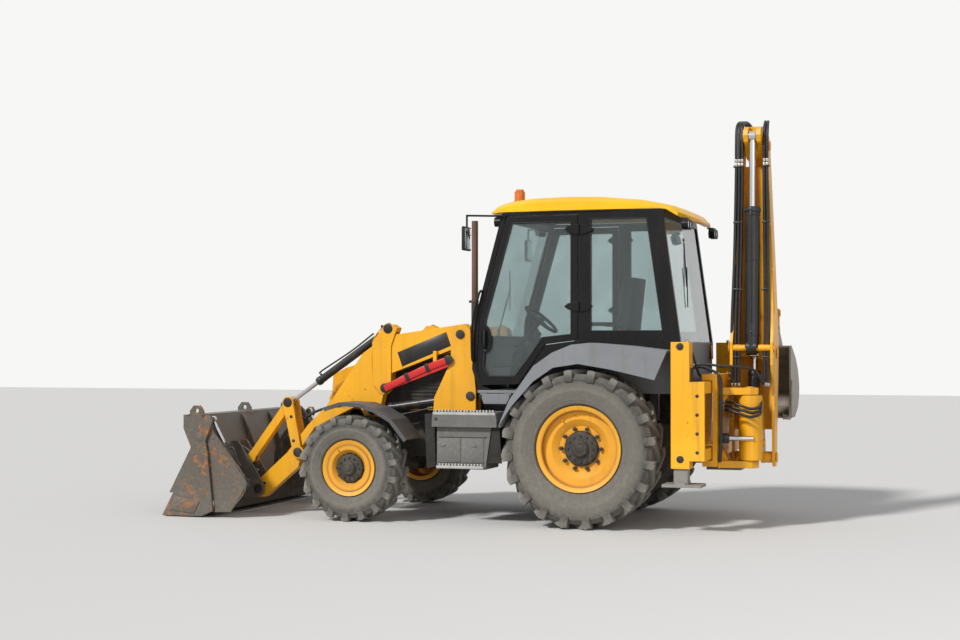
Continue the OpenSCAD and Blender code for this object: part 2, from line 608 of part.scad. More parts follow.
// rams of the loader: barrel p to q of length l, bored for its rod and its pin
module ram_barrel_y(p, q, y, l, r, rod_r, eye_t, bore) difference() {
  union() {
    bar_y(p, toward(p, q, l), y, r);
    disc_y(p, y - eye_t / 2, y + eye_t / 2, r * 1.08);
    bar_y(toward(p, q, l - 40), toward(p, q, l + 2), y, r * 1.04);
  }
  disc_y(p, y - r * 1.1, y + r * 1.1, bore);
  bar_y(toward(p, q, r * 1.5), toward(p, q, l + 5), y, rod_r + eye_gap);
}
module ram_rod_y(p, q, y, l, r, eye_t, eye_r) difference() {
  union() {
    bar_y(toward(q, p, l), q, y, r);
    disc_y(q, y - eye_t / 2, y + eye_t / 2, eye_r);
  }
  disc_y(q, y + eye_t / 2 - 4, y + eye_t / 2 + 30, 12);
}
module lift_ram_barrels() color("black") both()
  ram_barrel_y(lift_base, lift_rod, arm_y, 840, 44, 27, 80, pin_r + pin_gap);
module lift_ram_rods() color("silver") both()
  ram_rod_y(lift_base, lift_rod, arm_y, 890, 27, 56, 47);
module crowd_ram_barrels() color("black") both()
  ram_barrel_y(crowd_base, lever_top, arm_y, 900, 36, 21, 64, pin_r + pin_gap);
module crowd_ram_rods() color("silver") both()
  ram_rod_y(crowd_base, lever_top, arm_y, 920, 21, 46, 40);
module clam_ram_barrels() color("black") both()
  ram_barrel_y(clam_base, clam_pin, clam_ram_y, 420, 30, 16, 40, 20 + pin_gap);
module clam_ram_rods() color("silver") both()
  ram_rod_y(clam_base, clam_pin, clam_ram_y, 400, 16, 40, 32);

module rear_frame() color("dimgray") {
  for (z = [627, 1200]) box([-1140, -half_width, z], [-1052, half_width, z + 100]);
  both() {
    box([-1140, half_width - 20, 627], [-1010 + e, half_width, 1300]);
    difference() {
      box([-1010, half_width - 150, 560], [-850, half_width, 1640]);
      box([-995, half_width - 135, 500], [-865, half_width - 15, 1600]);
    }
    box([-1053, rail_y, 560], [-1000, rail_out, 1300]);
    box([-1053, half_width - 150, 640], [-1009, half_width, 1300]);
    box([-1053, rail_out - 10, 640], [-1009, half_width - 149, 720]);
  }
}
module stabiliser_leg(s) color("gray") side(s) {
  box([-990, half_width - 130, 420], [-870, half_width - 20, 1560]);
  for (z = [1000, 1500])
    box([-995 + seat, half_width - 135 + seat, z], [-865 - seat, half_width - 15 - seat, z + 50]);
  box([-1107, half_width - 240, 400], [-769, half_width, 425]);
  box([-975, half_width - 240, 425 - e], [-885, half_width, 445]);
}
module sideshift_carriage() color("dimgray") {
  box([-1190, 250, 560], [-1148, 850, 1360]);
  for (z = [560, 1306]) box([-1150, 250, z], [-1060, 850, z + 54]);
  for (y = [270, 750]) box([-1130, y, 1300 + seat], [-1070, y + 80, 1307]);
  for (z = [540, 1180])
    plate_z([[-1180, slew_y - 130], [slew_x - 20, slew_y - 80], [slew_x - 70, slew_y - 40],
      [slew_x - 70, slew_y + 40], [slew_x - 20, slew_y + 80], [-1180, slew_y + 130]], z, z + 60);
  disc_z([slew_x, slew_y], 541, 1250, 30);
}
// kingpost cheek as [distance out, z]
cheek = outs([[0, 606], [0, 1174], [90, 1174], [200, 1010], [268, 760], [280, 640], [262, 580],
  [230, 566], [190, 576], [150, 612]]);
module kingpost() color("dimgray") difference() {
  union() {
    disc_z([slew_x, slew_y], 606, 1174, 100);
    for (s = [-1, 1]) {
      plate_x(cheek, slew_x + (s > 0 ? 62 : -92), slew_x + (s > 0 ? 92 : -62));
      disc_x(boom_foot, slew_x + (s > 0 ? 62 : -boom_half_w - 8), slew_x + (s > 0 ? boom_half_w + 8 : -62), 32);
      disc_x(boom_foot, slew_x + (s > 0 ? 90 : -158), slew_x + (s > 0 ? 158 : -90), 50);
    }
    disc_x(boom_ram_base, slew_x - 104, slew_x + 104, 28);
  }
  disc_z([slew_x, slew_y], 500, 1300, 30 + pin_gap);
}
boom_pts = outs([[150, 600], [160, 700], [150, 1000], [150, 1270], [60, 1440], [60, 1640],
  [110, 1760], [215, 2400], [225, 3380], [262, 3480], [330, 3510], [398, 3480], [432, 3380],
  [440, 2400], [420, 1500], [330, 860], [300, 640], [270, 540], [190, 540]]);
boom_back = outs([[330, 860], [418, 1500], [436, 2400], [428, 3230]]);
// the boom narrows from this height to its head; half width over the plates at a height
boom_bend = 1700;
boom_end = 3520;
function boom_w(z) = z < boom_bend ? boom_half_w
  : boom_half_w - (boom_half_w - boom_head_w) * (z - boom_bend) / (boom_end - boom_bend);
// a line in the [x, z] view at a distance inside a plate's outer face
function boom_line(s, d) = [for (z = [500, boom_bend, boom_end]) [slew_x + s * (boom_w(z) - d), z]];
module boom() color("gold") {
  difference() {
    union() {
      for (s = [-1, 1]) intersection() {
        plate_x(boom_pts, slew_x - 250, slew_x + 250);
        plate_y(concat(boom_line(s, 0), rev(boom_line(s, boom_t))), slew_y - 500, slew_y);
      }
      intersection() {
        plate_x(sheet(boom_back, -16), slew_x - 250, slew_x + 250);
        plate_y(concat(boom_line(-1, 10), rev(boom_line(1, 10))), slew_y - 500, slew_y);
      }
      disc_x(boom_head, slew_x - boom_head_w - 14, slew_x + boom_head_w + 14, 34);
      disc_x(dipper_ram_base, slew_x - boom_half_w - 8, slew_x + boom_half_w + 8, 30);
      for (s = [-1, 1])
        disc_x(boom_ram_top, slew_x + (s > 0 ? 40 + eye_gap : -boom_half_w - 8),
          slew_x + (s > 0 ? boom_half_w + 8 : -40 - eye_gap), 30);
    }
    disc_x(boom_foot, slew_x - boom_half_w - 5, slew_x + boom_half_w + 5, 32 + pin_gap);
  }
}
dipper_pts = outs([[118, 3480], [135, 3530], [200, 3560], [330, 3580], [560, 3510], [690, 3330],
  [760, 3000], [742, 2085], [722, 1720], [670, 1690], [618, 1720], [598, 2085], [570, 2600],
  [520, 3150], [450, 3280], [330, 3290], [215, 3400], [150, 3425]]);
ram_lug = outs([[730, 3050], [790, 3100], [840, 3120], [840, 3180], [790, 3200], [715, 3260]]);
dipper_head_w = boom_head_w - boom_t - side_gap;
module dipper() color("gold") {
  difference() {
    union() {
      plate_x(dipper_pts, slew_x - 78, slew_x + 78);
      disc_x(boom_head, slew_x - dipper_head_w, slew_x + dipper_head_w, 80);
      disc_x(bucket_pin, slew_x - 122, slew_x + 122, 50);
      disc_x(bucket_pin, slew_x - 160, slew_x + 160, 28);
      disc_x(tip_pivot, slew_x - 112, slew_x + 112, 28);
      for (x = [slew_x - 62, slew_x + 42]) plate_x(ram_lug, x, x + 20);
      disc_x(bucket_ram_base, slew_x - 66, slew_x + 66, 26);
    }
    disc_x(boom_head, slew_x - 200, slew_x + 200, 34 + pin_gap);
    plate_x(outs([[60, 3370], [60, 3620], [284, 3620], [284, 3330]]), slew_x - 36, slew_x + 36);
  }
  for (s = [-1, 1])
    disc_x(dipper_pin, slew_x + (s > 0 ? 30 + eye_gap : -84), slew_x + (s > 0 ? 84 : -30 - eye_gap), 28);
}
// digging bucket lines from its pin as [y, z]: end outline, back line, ears
dig_end = [[40, -140], [-30, -140], [-300, -250], [-360, -290], [-500, -400], [-560, -560],
  [-470, -720], [-250, -800], [70, -800], [20, -480]];
ear_pts = [[48, -146], [48, 20], [20, 50], [-30, 50], [-296, -132], [-312, -170], [-308, -258],
  [-30, -146]];
dig_line = [for (i = [0:8]) dig_end[i]];
module digger_bucket() color("dimgray") {
  difference() {
    union() {
      for (x = [slew_x - dig_w / 2, slew_x + dig_w / 2 - bucket_t])
        plate_x(shift(dig_end, bucket_pin), x, x + bucket_t);
      plate_x(shift(sheet(dig_line, bucket_t), bucket_pin), slew_x - dig_w / 2 + 2, slew_x + dig_w / 2 - 2);
      for (x = [slew_x - 152, slew_x + 130]) plate_x(shift(ear_pts, bucket_pin), x, x + plate_t);
      for (i = [0:tooth_n - 1])
        translate([slew_x - dig_w / 2 + 10 + i * (dig_w - 60) / (tooth_n - 1), 0, 0])
          plate_x(shift([[40, -812], [190, -790], [40, -776]], bucket_pin), 0, 40);
    }
    disc_x(bucket_pin, slew_x - 400, slew_x + 400, 28 + pin_gap);
  }
  for (s = [-1, 1])
    disc_x(tip_link, slew_x + (s > 0 ? 126 + eye_gap : -158), slew_x + (s > 0 ? 158 : -126 - eye_gap), 25);
}
module ram_barrel_x(p, q, l, r, rod_r, eye_t, bore) difference() {
  union() {
    bar_x(p, toward(p, q, l), slew_x, r);
    disc_x(p, slew_x - eye_t / 2, slew_x + eye_t / 2, r * 1.02);
    bar_x(toward(p, q, l - 50), toward(p, q, l + 2), slew_x, r * 1.04);
  }
  disc_x(p, slew_x - r - 5, slew_x + r + 5, bore);
  bar_x(toward(p, q, r * 1.5), toward(p, q, l + 5), slew_x, rod_r + eye_gap);
}
module ram_rod_x(p, q, l, r, eye_t, eye_r) difference() {
  union() {
    bar_x(toward(q, p, l), q, slew_x, r);
    disc_x(q, slew_x - eye_t / 2, slew_x + eye_t / 2, eye_r);
  }
  disc_x(q, slew_x + eye_t / 2 - 4, slew_x + eye_t / 2 + 30, 12);
}
module boom_ram_barrel() color("black")
  ram_barrel_x(boom_ram_base, boom_ram_top, 640, 50, 30, 90, 28 + pin_gap);
module boom_ram_rod() color("silver")
  ram_rod_x(boom_ram_base, boom_ram_top, 560, 30, 80, 46);
module dipper_ram_barrel() color("black")
  ram_barrel_x(dipper_ram_base, dipper_pin, 1250, 64, 28, 90, 30 + pin_gap);
module dipper_ram_rod() color("silver")
  ram_rod_x(dipper_ram_base, dipper_pin, 1100, 28, 60, 44);
module bucket_ram_barrel() color("black")
  ram_barrel_x(bucket_ram_base, tip_top, 640, 40, 24, 70, 26 + pin_gap);
module bucket_ram_rod() color("silver")
  ram_rod_x(bucket_ram_base, tip_top, 660, 24, 60, 42);
lever_side = square_to(tip_pivot, tip_top) * 34;
module tipping_lever() color("gold") {
  for (x = [slew_x - 104, slew_x + 84]) difference() {
    union() {
      plate_x([tip_pivot - lever_side, tip_pivot + lever_side, tip_top + lever_side,
        tip_top - lever_side], x, x + 20);
      disc_x(tip_pivot, x, x + 20, 46);
      disc_x(tip_top, x, x + 20, 44);
    }
    disc_x(tip_pivot, x - 1, x + 21, 28 + pin_gap);
  }
  for (s = [-1, 1])
    disc_x(tip_top, slew_x + (s > 0 ? 30 + eye_gap : -132), slew_x + (s > 0 ? 132 : -30 - eye_gap), 25);
}
module tipping_link() color("gold") for (x = [slew_x - 126, slew_x + 106]) difference() {
  union() {
    plate_x([tip_top + [34, 0], tip_top + [-34, 0], tip_link + [-34, 0], tip_link + [34, 0]], x, x + 20);
    disc_x(tip_top, x, x + 20, 42);
    disc_x(tip_link, x, x + 20, 42);
  }
  disc_x(tip_top, x - 1, x + 21, 25 + pin_gap);
}

place() chassis_frame();
place() engine_block();
place() bonnet();
place() exhaust_stack();
place() front_axle();
place() steering_knuckle(1);  // steering_knuckle_left
place() steering_knuckle(-1);  // steering_knuckle_right
place() front_tyre(1);  // front_tyre_left
place() front_tyre(-1);  // front_tyre_right
place() front_rim(1);  // front_rim_left
place() front_rim(-1);  // front_rim_right
place() rear_axle();
place() rear_tyre(1);  // rear_tyre_left
place() rear_tyre(-1);  // rear_tyre_right
place() rear_rim(1);  // rear_rim_left
place() rear_rim(-1);  // rear_rim_right
place() front_mudguards();
place() cab_frame();
place() cab_floor();
place() cab_roof();
place() cab_glass();
place() door(1);  // door_left
place() door(-1);  // door_right
place() door_glass(1);  // door_glass_left
place() door_glass(-1);  // door_glass_right
place() operator_seat();
place() cab_controls();
place() side_tanks();
place() lamps_and_mirrors();
place() beacon();
place() loader_arms();
place() safety_strut();
place() bell_cranks();
place() bucket_links();
place() loader_bucket();
place() clam_jaw();
place() lift_ram_barrels();
place() lift_ram_rods();
place() crowd_ram_barrels();
place() crowd_ram_rods();
place() clam_ram_barrels();
place() clam_ram_rods();
place() rear_frame();
place() stabiliser_leg(1);  // stabiliser_leg_left
place() stabiliser_leg(-1);  // stabiliser_leg_right
place() sideshift_carriage();
place() kingpost();
place() boom();
place() dipper();
place() digger_bucket();
place() boom_ram_barrel();
place() boom_ram_rod();
place() dipper_ram_barrel();
place() dipper_ram_rod();
place() bucket_ram_barrel();
place() bucket_ram_rod();
place() tipping_lever();
place() tipping_link();
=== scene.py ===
"""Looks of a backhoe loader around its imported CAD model.

Paint, rubber, steel, glass and small fittings.
"""
import math

import bmesh
import bpy
from mathutils import Matrix, Vector


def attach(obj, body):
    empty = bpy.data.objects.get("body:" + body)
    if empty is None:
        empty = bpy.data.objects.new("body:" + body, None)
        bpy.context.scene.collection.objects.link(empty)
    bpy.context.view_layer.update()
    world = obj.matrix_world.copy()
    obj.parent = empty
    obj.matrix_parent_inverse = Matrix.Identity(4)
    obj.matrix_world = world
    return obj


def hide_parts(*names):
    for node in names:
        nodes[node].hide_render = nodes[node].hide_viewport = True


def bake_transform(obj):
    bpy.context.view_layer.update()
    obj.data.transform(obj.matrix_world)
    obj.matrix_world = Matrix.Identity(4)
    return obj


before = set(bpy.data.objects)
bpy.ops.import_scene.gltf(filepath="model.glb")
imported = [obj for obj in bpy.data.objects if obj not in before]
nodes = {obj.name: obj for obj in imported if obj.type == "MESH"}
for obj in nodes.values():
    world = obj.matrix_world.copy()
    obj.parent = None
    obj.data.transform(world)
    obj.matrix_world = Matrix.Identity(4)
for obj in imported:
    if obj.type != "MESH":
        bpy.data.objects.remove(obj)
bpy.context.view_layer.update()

# Camera, floor and light. The camera stands where the photograph was taken from,
# some 15 m out on the left of the machine, a little behind it and at eye height.
camera_place = Vector((-4.806, 14.715, 1.600))
camera_yaw = math.radians(18.39)
camera_pitch = math.radians(0.95)
camera_data = bpy.data.cameras.new("camera")
camera_data.lens = 60.34
camera_data.sensor_width = 36
camera_data.sensor_fit = "HORIZONTAL"
camera_data.clip_end = 200
camera = bpy.data.objects.new("camera", camera_data)
bpy.context.collection.objects.link(camera)
look = Vector((math.sin(camera_yaw) * math.cos(camera_pitch),
               -math.cos(camera_yaw) * math.cos(camera_pitch), math.sin(camera_pitch)))
camera.location = camera_place
camera.rotation_euler = look.to_track_quat("-Z", "Y").to_euler()
bpy.context.scene.camera = camera
bpy.context.scene.view_settings.view_transform = "Standard"

world = bpy.data.worlds.new("studio")
bpy.context.scene.world = world
world.use_nodes = True
sky = world.node_tree
soft_light = sky.nodes["Background"]
soft_light.inputs["Color"].default_value = (0.93, 0.95, 1.0, 1)
soft_light.inputs["Strength"].default_value = 0.45
pale_ground = sky.nodes.new("ShaderNodeBackground")
pale_ground.inputs["Color"].default_value = (0.93, 0.93, 0.92, 1)
pale_ground.inputs["Strength"].default_value = 1.0
ray = sky.nodes.new("ShaderNodeLightPath")
seen = sky.nodes.new("ShaderNodeMath")
seen.operation = "MAXIMUM"
seen_through = sky.nodes.new("ShaderNodeMath")
seen_through.operation = "MAXIMUM"
sky.links.new(ray.outputs["Is Camera Ray"], seen.inputs[0])
sky.links.new(ray.outputs["Is Glossy Ray"], seen.inputs[1])
sky.links.new(seen.outputs[0], seen_through.inputs[0])
sky.links.new(ray.outputs["Is Transmission Ray"], seen_through.inputs[1])
sky_mix = sky.nodes.new("ShaderNodeMixShader")
sky.links.new(seen_through.outputs[0], sky_mix.inputs[0])
sky.links.new(soft_light.outputs[0], sky_mix.inputs[1])
sky.links.new(pale_ground.outputs[0], sky_mix.inputs[2])
sky.links.new(sky_mix.outputs[0], sky.nodes["World Output"].inputs[0])


def lamp(name, kind, place, aim, energy, size):
    """A lamp at a place, aimed at a point; size is a sun's angle in degrees or an area's edge."""
    data = bpy.data.lights.new(name, kind)
    data.energy = energy
    if kind == "SUN":
        data.angle = math.radians(size)
    else:
        data.size = size
    lamp_object = bpy.data.objects.new(name, data)
    lamp_object.location = place
    lamp_object.rotation_euler = (Vector(aim) - Vector(place)).to_track_quat("-Z", "Y").to_euler()
    bpy.context.collection.objects.link(lamp_object)


lamp("day", "SUN", (4.2, 8.0, 8.0), (0, 0, 0.8), 3.1, 7)
lamp("fill", "AREA", (-8.0, 9.0, 5.0), (0, 0, 1.2), 170, 6)

bpy.ops.object.select_all(action="DESELECT")
bpy.ops.mesh.primitive_plane_add(size=80, location=(0, 0, -0.004))
floor = bpy.context.object
floor.name = "floor"
floor_paint = bpy.data.materials.new("pale_floor")
floor_paint.use_nodes = True
floor_paint.node_tree.nodes["Principled BSDF"].inputs["Base Color"].default_value = (0.62, 0.61,
                                                                                     0.59, 1)
floor_paint.node_tree.nodes["Principled BSDF"].inputs["Roughness"].default_value = 0.9
floor.data.materials.append(floor_paint)


# Chassis, axles and loader towers. Welded plate in black chassis paint, dulled by
# dried clay that lies thickest low down; the pins have capped ends held by bolts.
def make_weathering():
    """Group: a clean colour with dust, run-off streaks and chips, thickest along edges."""
    group = bpy.data.node_groups.new("weathering", "ShaderNodeTree")
    interface = group.interface
    for name, kind, value in (("Clean", "NodeSocketColor", (1, 1, 1, 1)),
                              ("Dust", "NodeSocketColor", (0.4, 0.34, 0.26, 1)),
                              ("Chip", "NodeSocketColor", (0.1, 0.05, 0.03, 1)),
                              ("Dust Amount", "NodeSocketFloat", 0.5),
                              ("Chip Amount", "NodeSocketFloat", 0.3),
                              ("Streak Amount", "NodeSocketFloat", 0.3),
                              ("Gloss", "NodeSocketFloat", 0.4),
                              ("Splash Height", "NodeSocketFloat", 1.2)):
        socket = interface.new_socket(name=name, in_out="INPUT", socket_type=kind)
        socket.default_value = value
    for name, kind in (("Color", "NodeSocketColor"), ("Roughness", "NodeSocketFloat"),
                       ("Height", "NodeSocketFloat"), ("Soft Normal", "NodeSocketVector")):
        interface.new_socket(name=name, in_out="OUTPUT", socket_type=kind)
    tree = group.nodes
    link = group.links.new

    def node(kind, **settings):
        made = tree.new(kind)
        for key, value in settings.items():
            setattr(made, key, value)
        return made

    def calc(operation, a, b=None, clamp=False):
        made = node("ShaderNodeMath", operation=operation, use_clamp=clamp)
        for i, value in enumerate((a, b)):
            if value is None:
                continue
            if isinstance(value, (int, float)):
                made.inputs[i].default_value = value
            else:
                link(value, made.inputs[i])
        return made.outputs[0]

    def noise(scale, detail, rough=0.6, vector=None):
        made = node("ShaderNodeTexNoise")
        made.inputs["Scale"].default_value = scale
        made.inputs["Detail"].default_value = detail
        made.inputs["Roughness"].default_value = rough
        link(vector or coords, made.inputs["Vector"])
        return made.outputs["Fac"]

    def ramp(value, low, high):
        made = node("ShaderNodeMapRange")
        made.inputs["From Min"].default_value = low
        made.inputs["From Max"].default_value = high
        link(value, made.inputs["Value"])
        return made.outputs["Result"]

    def over(factor, below, above, kind="MIX"):
        made = node("ShaderNodeMix", data_type="RGBA", blend_type=kind)
        for socket, value in (("Factor", factor), ("A", below), ("B", above)):
            if isinstance(value, (int, float, tuple)):
                made.inputs[socket].default_value = value
            else:
                link(value, made.inputs[socket])
        return made.outputs["Result"]

    given = node("NodeGroupInput").outputs
    coords = node("ShaderNodeTexCoord").outputs["Object"]
    position = node("ShaderNodeSeparateXYZ")
    link(coords, position.inputs[0])
    surface = node("ShaderNodeNewGeometry").outputs["Normal"]
    facing = node("ShaderNodeSeparateXYZ")
    link(surface, facing.inputs[0])
    soft = node("ShaderNodeBevel", samples=4)
    soft.inputs["Radius"].default_value = 0.005
    turned_away = node("ShaderNodeVectorMath", operation="DOT_PRODUCT")
    link(soft.outputs["Normal"], turned_away.inputs[0])
    link(surface, turned_away.inputs[1])
    edge = ramp(turned_away.outputs["Value"], 0.985, 0.86)
    stretched = node("ShaderNodeMapping")
    stretched.inputs["Scale"].default_value = (11, 11, 0.7)
    link(coords, stretched.inputs["Vector"])
    patches = ramp(noise(2.3, 5), 0.36, 0.68)
    speckle = ramp(noise(26, 6, 0.7), 0.42, 0.66)
    splash = calc("SUBTRACT", 1.0, calc("DIVIDE", position.outputs[2], given["Splash Height"]),
                  True)
    upward = ramp(facing.outputs[2], 0.35, 0.95)
    cover = calc("ADD", calc("MULTIPLY", patches, 0.45), calc("MULTIPLY", splash, 0.75))
    cover = calc("ADD", cover, calc("MULTIPLY", upward, 0.55))
    cover = calc("MULTIPLY", cover, calc("ADD", calc("MULTIPLY", speckle, 0.6), 0.4))
    cover = calc("MULTIPLY", cover, given["Dust Amount"], True)
    wear = calc("ADD", noise(14, 8, 0.75), calc("MULTIPLY", noise(3.1, 2), 0.35))
    wear = calc("ADD", wear, calc("MULTIPLY", edge, 0.10))
    limit = calc("SUBTRACT", 0.95, calc("MULTIPLY", given["Chip Amount"], 0.3))
    chips = calc("MULTIPLY", calc("SUBTRACT", wear, limit), 30, True)
    streaks = ramp(noise(1.0, 4, 0.6, stretched.outputs["Vector"]), 0.52, 0.72)
    streaks = calc("MULTIPLY", streaks, given["Streak Amount"])
    shaded = over(0.25, given["Clean"], ramp(noise(1.4, 3), 0.2, 0.7), "MULTIPLY")
    streaked = over(streaks, shaded, (0.13, 0.085, 0.045, 1))
    chipped = over(chips, streaked, given["Chip"])
    made = node("NodeGroupOutput").inputs
    link(over(cover, chipped, given["Dust"]), made["Color"])
    rough = calc("ADD", given["Gloss"], calc("MULTIPLY", cover, 0.45))
    link(calc("ADD", rough, calc("MULTIPLY", chips, 0.25), True), made["Roughness"])
    height = calc("SUBTRACT", calc("MULTIPLY", calc("MULTIPLY", cover, speckle), 0.6), chips)
    link(calc("ADD", height, calc("MULTIPLY", noise(180, 2), 0.08)), made["Height"])
    link(soft.outputs["Normal"], made["Soft Normal"])
    return group


weathering = make_weathering()
clay = (0.40, 0.335, 0.25, 1)
rust = (0.16, 0.055, 0.022, 1)


def finish(name, clean, gloss=0.4, dust=0.5, chips=0.3, metallic=0.0, splash=1.2, chip_colour=rust,
           dust_colour=clay, bump=0.25, coat=0.0, streaks=0.25, specular=0.5):
    """A weathered finish: gloss is the clean roughness, splash how high thrown mud goes."""
    material = bpy.data.materials.new(name)
    material.use_nodes = True
    tree = material.node_tree
    shader = tree.nodes["Principled BSDF"]
    shader.inputs["Metallic"].default_value = metallic
    shader.inputs["Coat Weight"].default_value = coat
    shader.inputs["Specular IOR Level"].default_value = specular
    worn = tree.nodes.new("ShaderNodeGroup")
    worn.name = "worn"
    worn.node_tree = weathering
    for socket, value in (("Clean", (*clean, 1)), ("Dust", dust_colour), ("Chip", chip_colour),
                          ("Dust Amount", dust), ("Chip Amount", chips),
                          ("Streak Amount", streaks),
                          ("Gloss", gloss), ("Splash Height", splash)):
        worn.inputs[socket].default_value = value
    raised = tree.nodes.new("ShaderNodeBump")
    raised.name = "raised"
    raised.inputs["Strength"].default_value = bump
    raised.inputs["Distance"].default_value = 0.004
    tree.links.new(worn.outputs["Color"], shader.inputs["Base Color"])
    tree.links.new(worn.outputs["Roughness"], shader.inputs["Roughness"])
    tree.links.new(worn.outputs["Height"], raised.inputs["Height"])
    tree.links.new(worn.outputs["Soft Normal"], raised.inputs["Normal"])
    tree.links.new(raised.outputs["Normal"], shader.inputs["Normal"])
    return material


def dress(material, *names):
    """Gives CAD nodes a finish."""
    for name in names:
        nodes[name].data.materials.clear()
        nodes[name].data.materials.append(material)


def at(x, y, z):
    """A point in the shared frame from millimetres ahead of the rear axle, to the left and up."""
    return Vector(((x - 1168) / 1000, y / 1000, z / 1000))


def pick(part, test):
    """In edit mode, selects only the faces whose middle and normal pass a test."""
    shape = bmesh.from_edit_mesh(part.data)
    for face in shape.faces:
        face.select = bool(test(face.calc_center_median(), face.normal))
    shape.select_flush_mode()
    bmesh.update_edit_mesh(part.data)


def soften(part, width, sharp=35, segments=2):
    """Rounds a part's edges by a width in millimetres and shades it smooth between them."""
    if width:
        edges = part.modifiers.new("edges", "BEVEL")
        edges.width = width / 1000
        edges.segments = segments
        edges.limit_method = "ANGLE"
        edges.angle_limit = math.radians(sharp)
        bpy.ops.object.modifier_apply(modifier=edges.name)
    bpy.ops.object.shade_smooth_by_angle(angle=math.radians(sharp))
    return part


def turned(radius, height, steps=(), sides=24, width=1.5):
    """A part turned about +Z: a bar on the origin, its end inset and raised step by step, in mm."""
    bpy.ops.object.select_all(action="DESELECT")
    bpy.ops.mesh.primitive_cylinder_add(vertices=sides, radius=radius / 1000, depth=height / 1000,
                                        location=(0, 0, height / 2000))
    part = bpy.context.object
    bpy.ops.object.transform_apply(location=True)
    bpy.ops.object.mode_set(mode="EDIT")
    pick(part, lambda middle, normal: normal.z > 0.9)
    for inset, rise in steps:
        bpy.ops.mesh.inset(thickness=inset / 1000)
        bpy.ops.mesh.extrude_region_move(TRANSFORM_OT_translate={"value": (0, 0, rise / 1000)})
    bpy.ops.object.mode_set(mode="OBJECT")
    return soften(part, width)


def put(part, place, direction, spin=0.0):
    """A copy of a part with its own mesh, its foot at a place and its +Z along a direction."""
    copy = part.copy()
    copy.data = part.data.copy()
    bpy.context.collection.objects.link(copy)
    turn = Vector(direction).to_track_quat("Z", "Y").to_matrix().to_4x4()
    copy.data.transform(Matrix.Translation(place) @ turn @ Matrix.Rotation(spin, 4, "Z"))
    return copy


def slab(line, across, start, end, width=2.0, sharp=35, segments=2):
    """A plate in mm: across "y" takes [x, z] points, "x" takes [y, z] and "z" takes [x, y]."""
    bpy.ops.object.select_all(action="DESELECT")
    bpy.ops.mesh.primitive_circle_add(vertices=len(line), radius=1, fill_type="NGON")
    part = bpy.context.object
    order = {"y": lambda p: at(p[0], start, p[1]), "x": lambda p: at(start, p[0], p[1]),
             "z": lambda p: at(p[0], p[1], start)}[across]
    for corner, point in zip(part.data.vertices, line):
        corner.co = order(point)
    step = {"y": (0, end - start, 0), "x": (end - start, 0, 0), "z": (0, 0, end - start)}[across]
    bpy.ops.object.mode_set(mode="EDIT")
    bpy.ops.mesh.select_all(action="SELECT")
    bpy.ops.mesh.extrude_region_move(TRANSFORM_OT_translate={"value": [s / 1000 for s in step]})
    bpy.ops.mesh.select_all(action="SELECT")
    bpy.ops.mesh.normals_make_consistent(inside=False)
    bpy.ops.object.mode_set(mode="OBJECT")
    return soften(part, width, sharp, segments)


def block(low, high, width=3.0):
    """A box in mm with rounded edges."""
    return slab([(low[0], low[2]), (high[0], low[2]), (high[0], high[2]), (low[0], high[2])],
                "y", low[1], high[1], width)


def settle(parts, name, material, body):
    """Joins parts into one piece, paints it, and hangs it on the body that carries it."""
    if not isinstance(parts, list):
        parts = [parts]
    bpy.ops.object.select_all(action="DESELECT")
    for part in parts:
        part.select_set(True)
    bpy.context.view_layer.objects.active = parts[0]
    if len(parts) > 1:
        bpy.ops.object.join()
    piece = bpy.context.object
    bpy.ops.object.transform_apply(location=True, rotation=True, scale=True)
    piece.name = name
    piece.data.name = name
    piece.data.materials.clear()
    piece.data.materials.append(material)
    if body:
        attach(piece, body)
    return piece


def drop(*parts):
    """Removes patterns once their copies are made."""
    for part in parts:
        bpy.data.meshes.remove(part.data)


chassis_black = finish("chassis_black", (0.018, 0.017, 0.016), 0.55, 0.38, 0.25, specular=0.3)
dress(chassis_black, "front_axle", "rear_axle", "steering_knuckle_left", "steering_knuckle_right")
enamel = (0.90, 0.42, 0.006)
chassis_paint = finish("chassis_paint", (0.018, 0.017, 0.016), 0.5, 0.3, 0.3, splash=1.0,
                       specular=0.35)
paint_nodes = chassis_paint.node_tree.nodes
paint_links = chassis_paint.node_tree.links
paint_place = paint_nodes.new("ShaderNodeSeparateXYZ")
paint_links.new(paint_nodes.new("ShaderNodeTexCoord").outputs["Object"], paint_place.inputs[0])
tower_tests = []
for socket, kind, limit in ((paint_place.outputs[1], "ABSOLUTE", 0.47),
                            (paint_place.outputs[2], None, 0.781)):
    if kind:
        size_only = paint_nodes.new("ShaderNodeMath")
        size_only.operation = kind
        paint_links.new(socket, size_only.inputs[0])
        socket = size_only.outputs[0]
    beyond = paint_nodes.new("ShaderNodeMath")
    beyond.operation = "GREATER_THAN"
    beyond.inputs[1].default_value = limit
    paint_links.new(socket, beyond.inputs[0])
    tower_tests.append(beyond.outputs[0])
on_tower = paint_nodes.new("ShaderNodeMath")
on_tower.operation = "MULTIPLY"
paint_links.new(tower_tests[0], on_tower.inputs[0])
paint_links.new(tower_tests[1], on_tower.inputs[1])
tower_mix = paint_nodes.new("ShaderNodeMix")
tower_mix.data_type = "RGBA"
tower_mix.inputs["A"].default_value = (0.018, 0.017, 0.016, 1)
tower_mix.inputs["B"].default_value = (*enamel, 1)
paint_links.new(on_tower.outputs[0], tower_mix.inputs["Factor"])
paint_links.new(tower_mix.outputs["Result"], paint_nodes["worn"].inputs["Clean"])
dress(chassis_paint, "chassis_frame")
bolt_pattern = turned(17, 3, [(4, 0), (0.5, 9)], 6, 1.0)
cap_pattern = turned(42, 5, [(8, 7), (9, 3)], 28, 2.0)
left = Vector((0, 1, 0))
up = Vector((0, 0, 1))
ahead = Vector((1, 0, 0))
tower_fittings = []
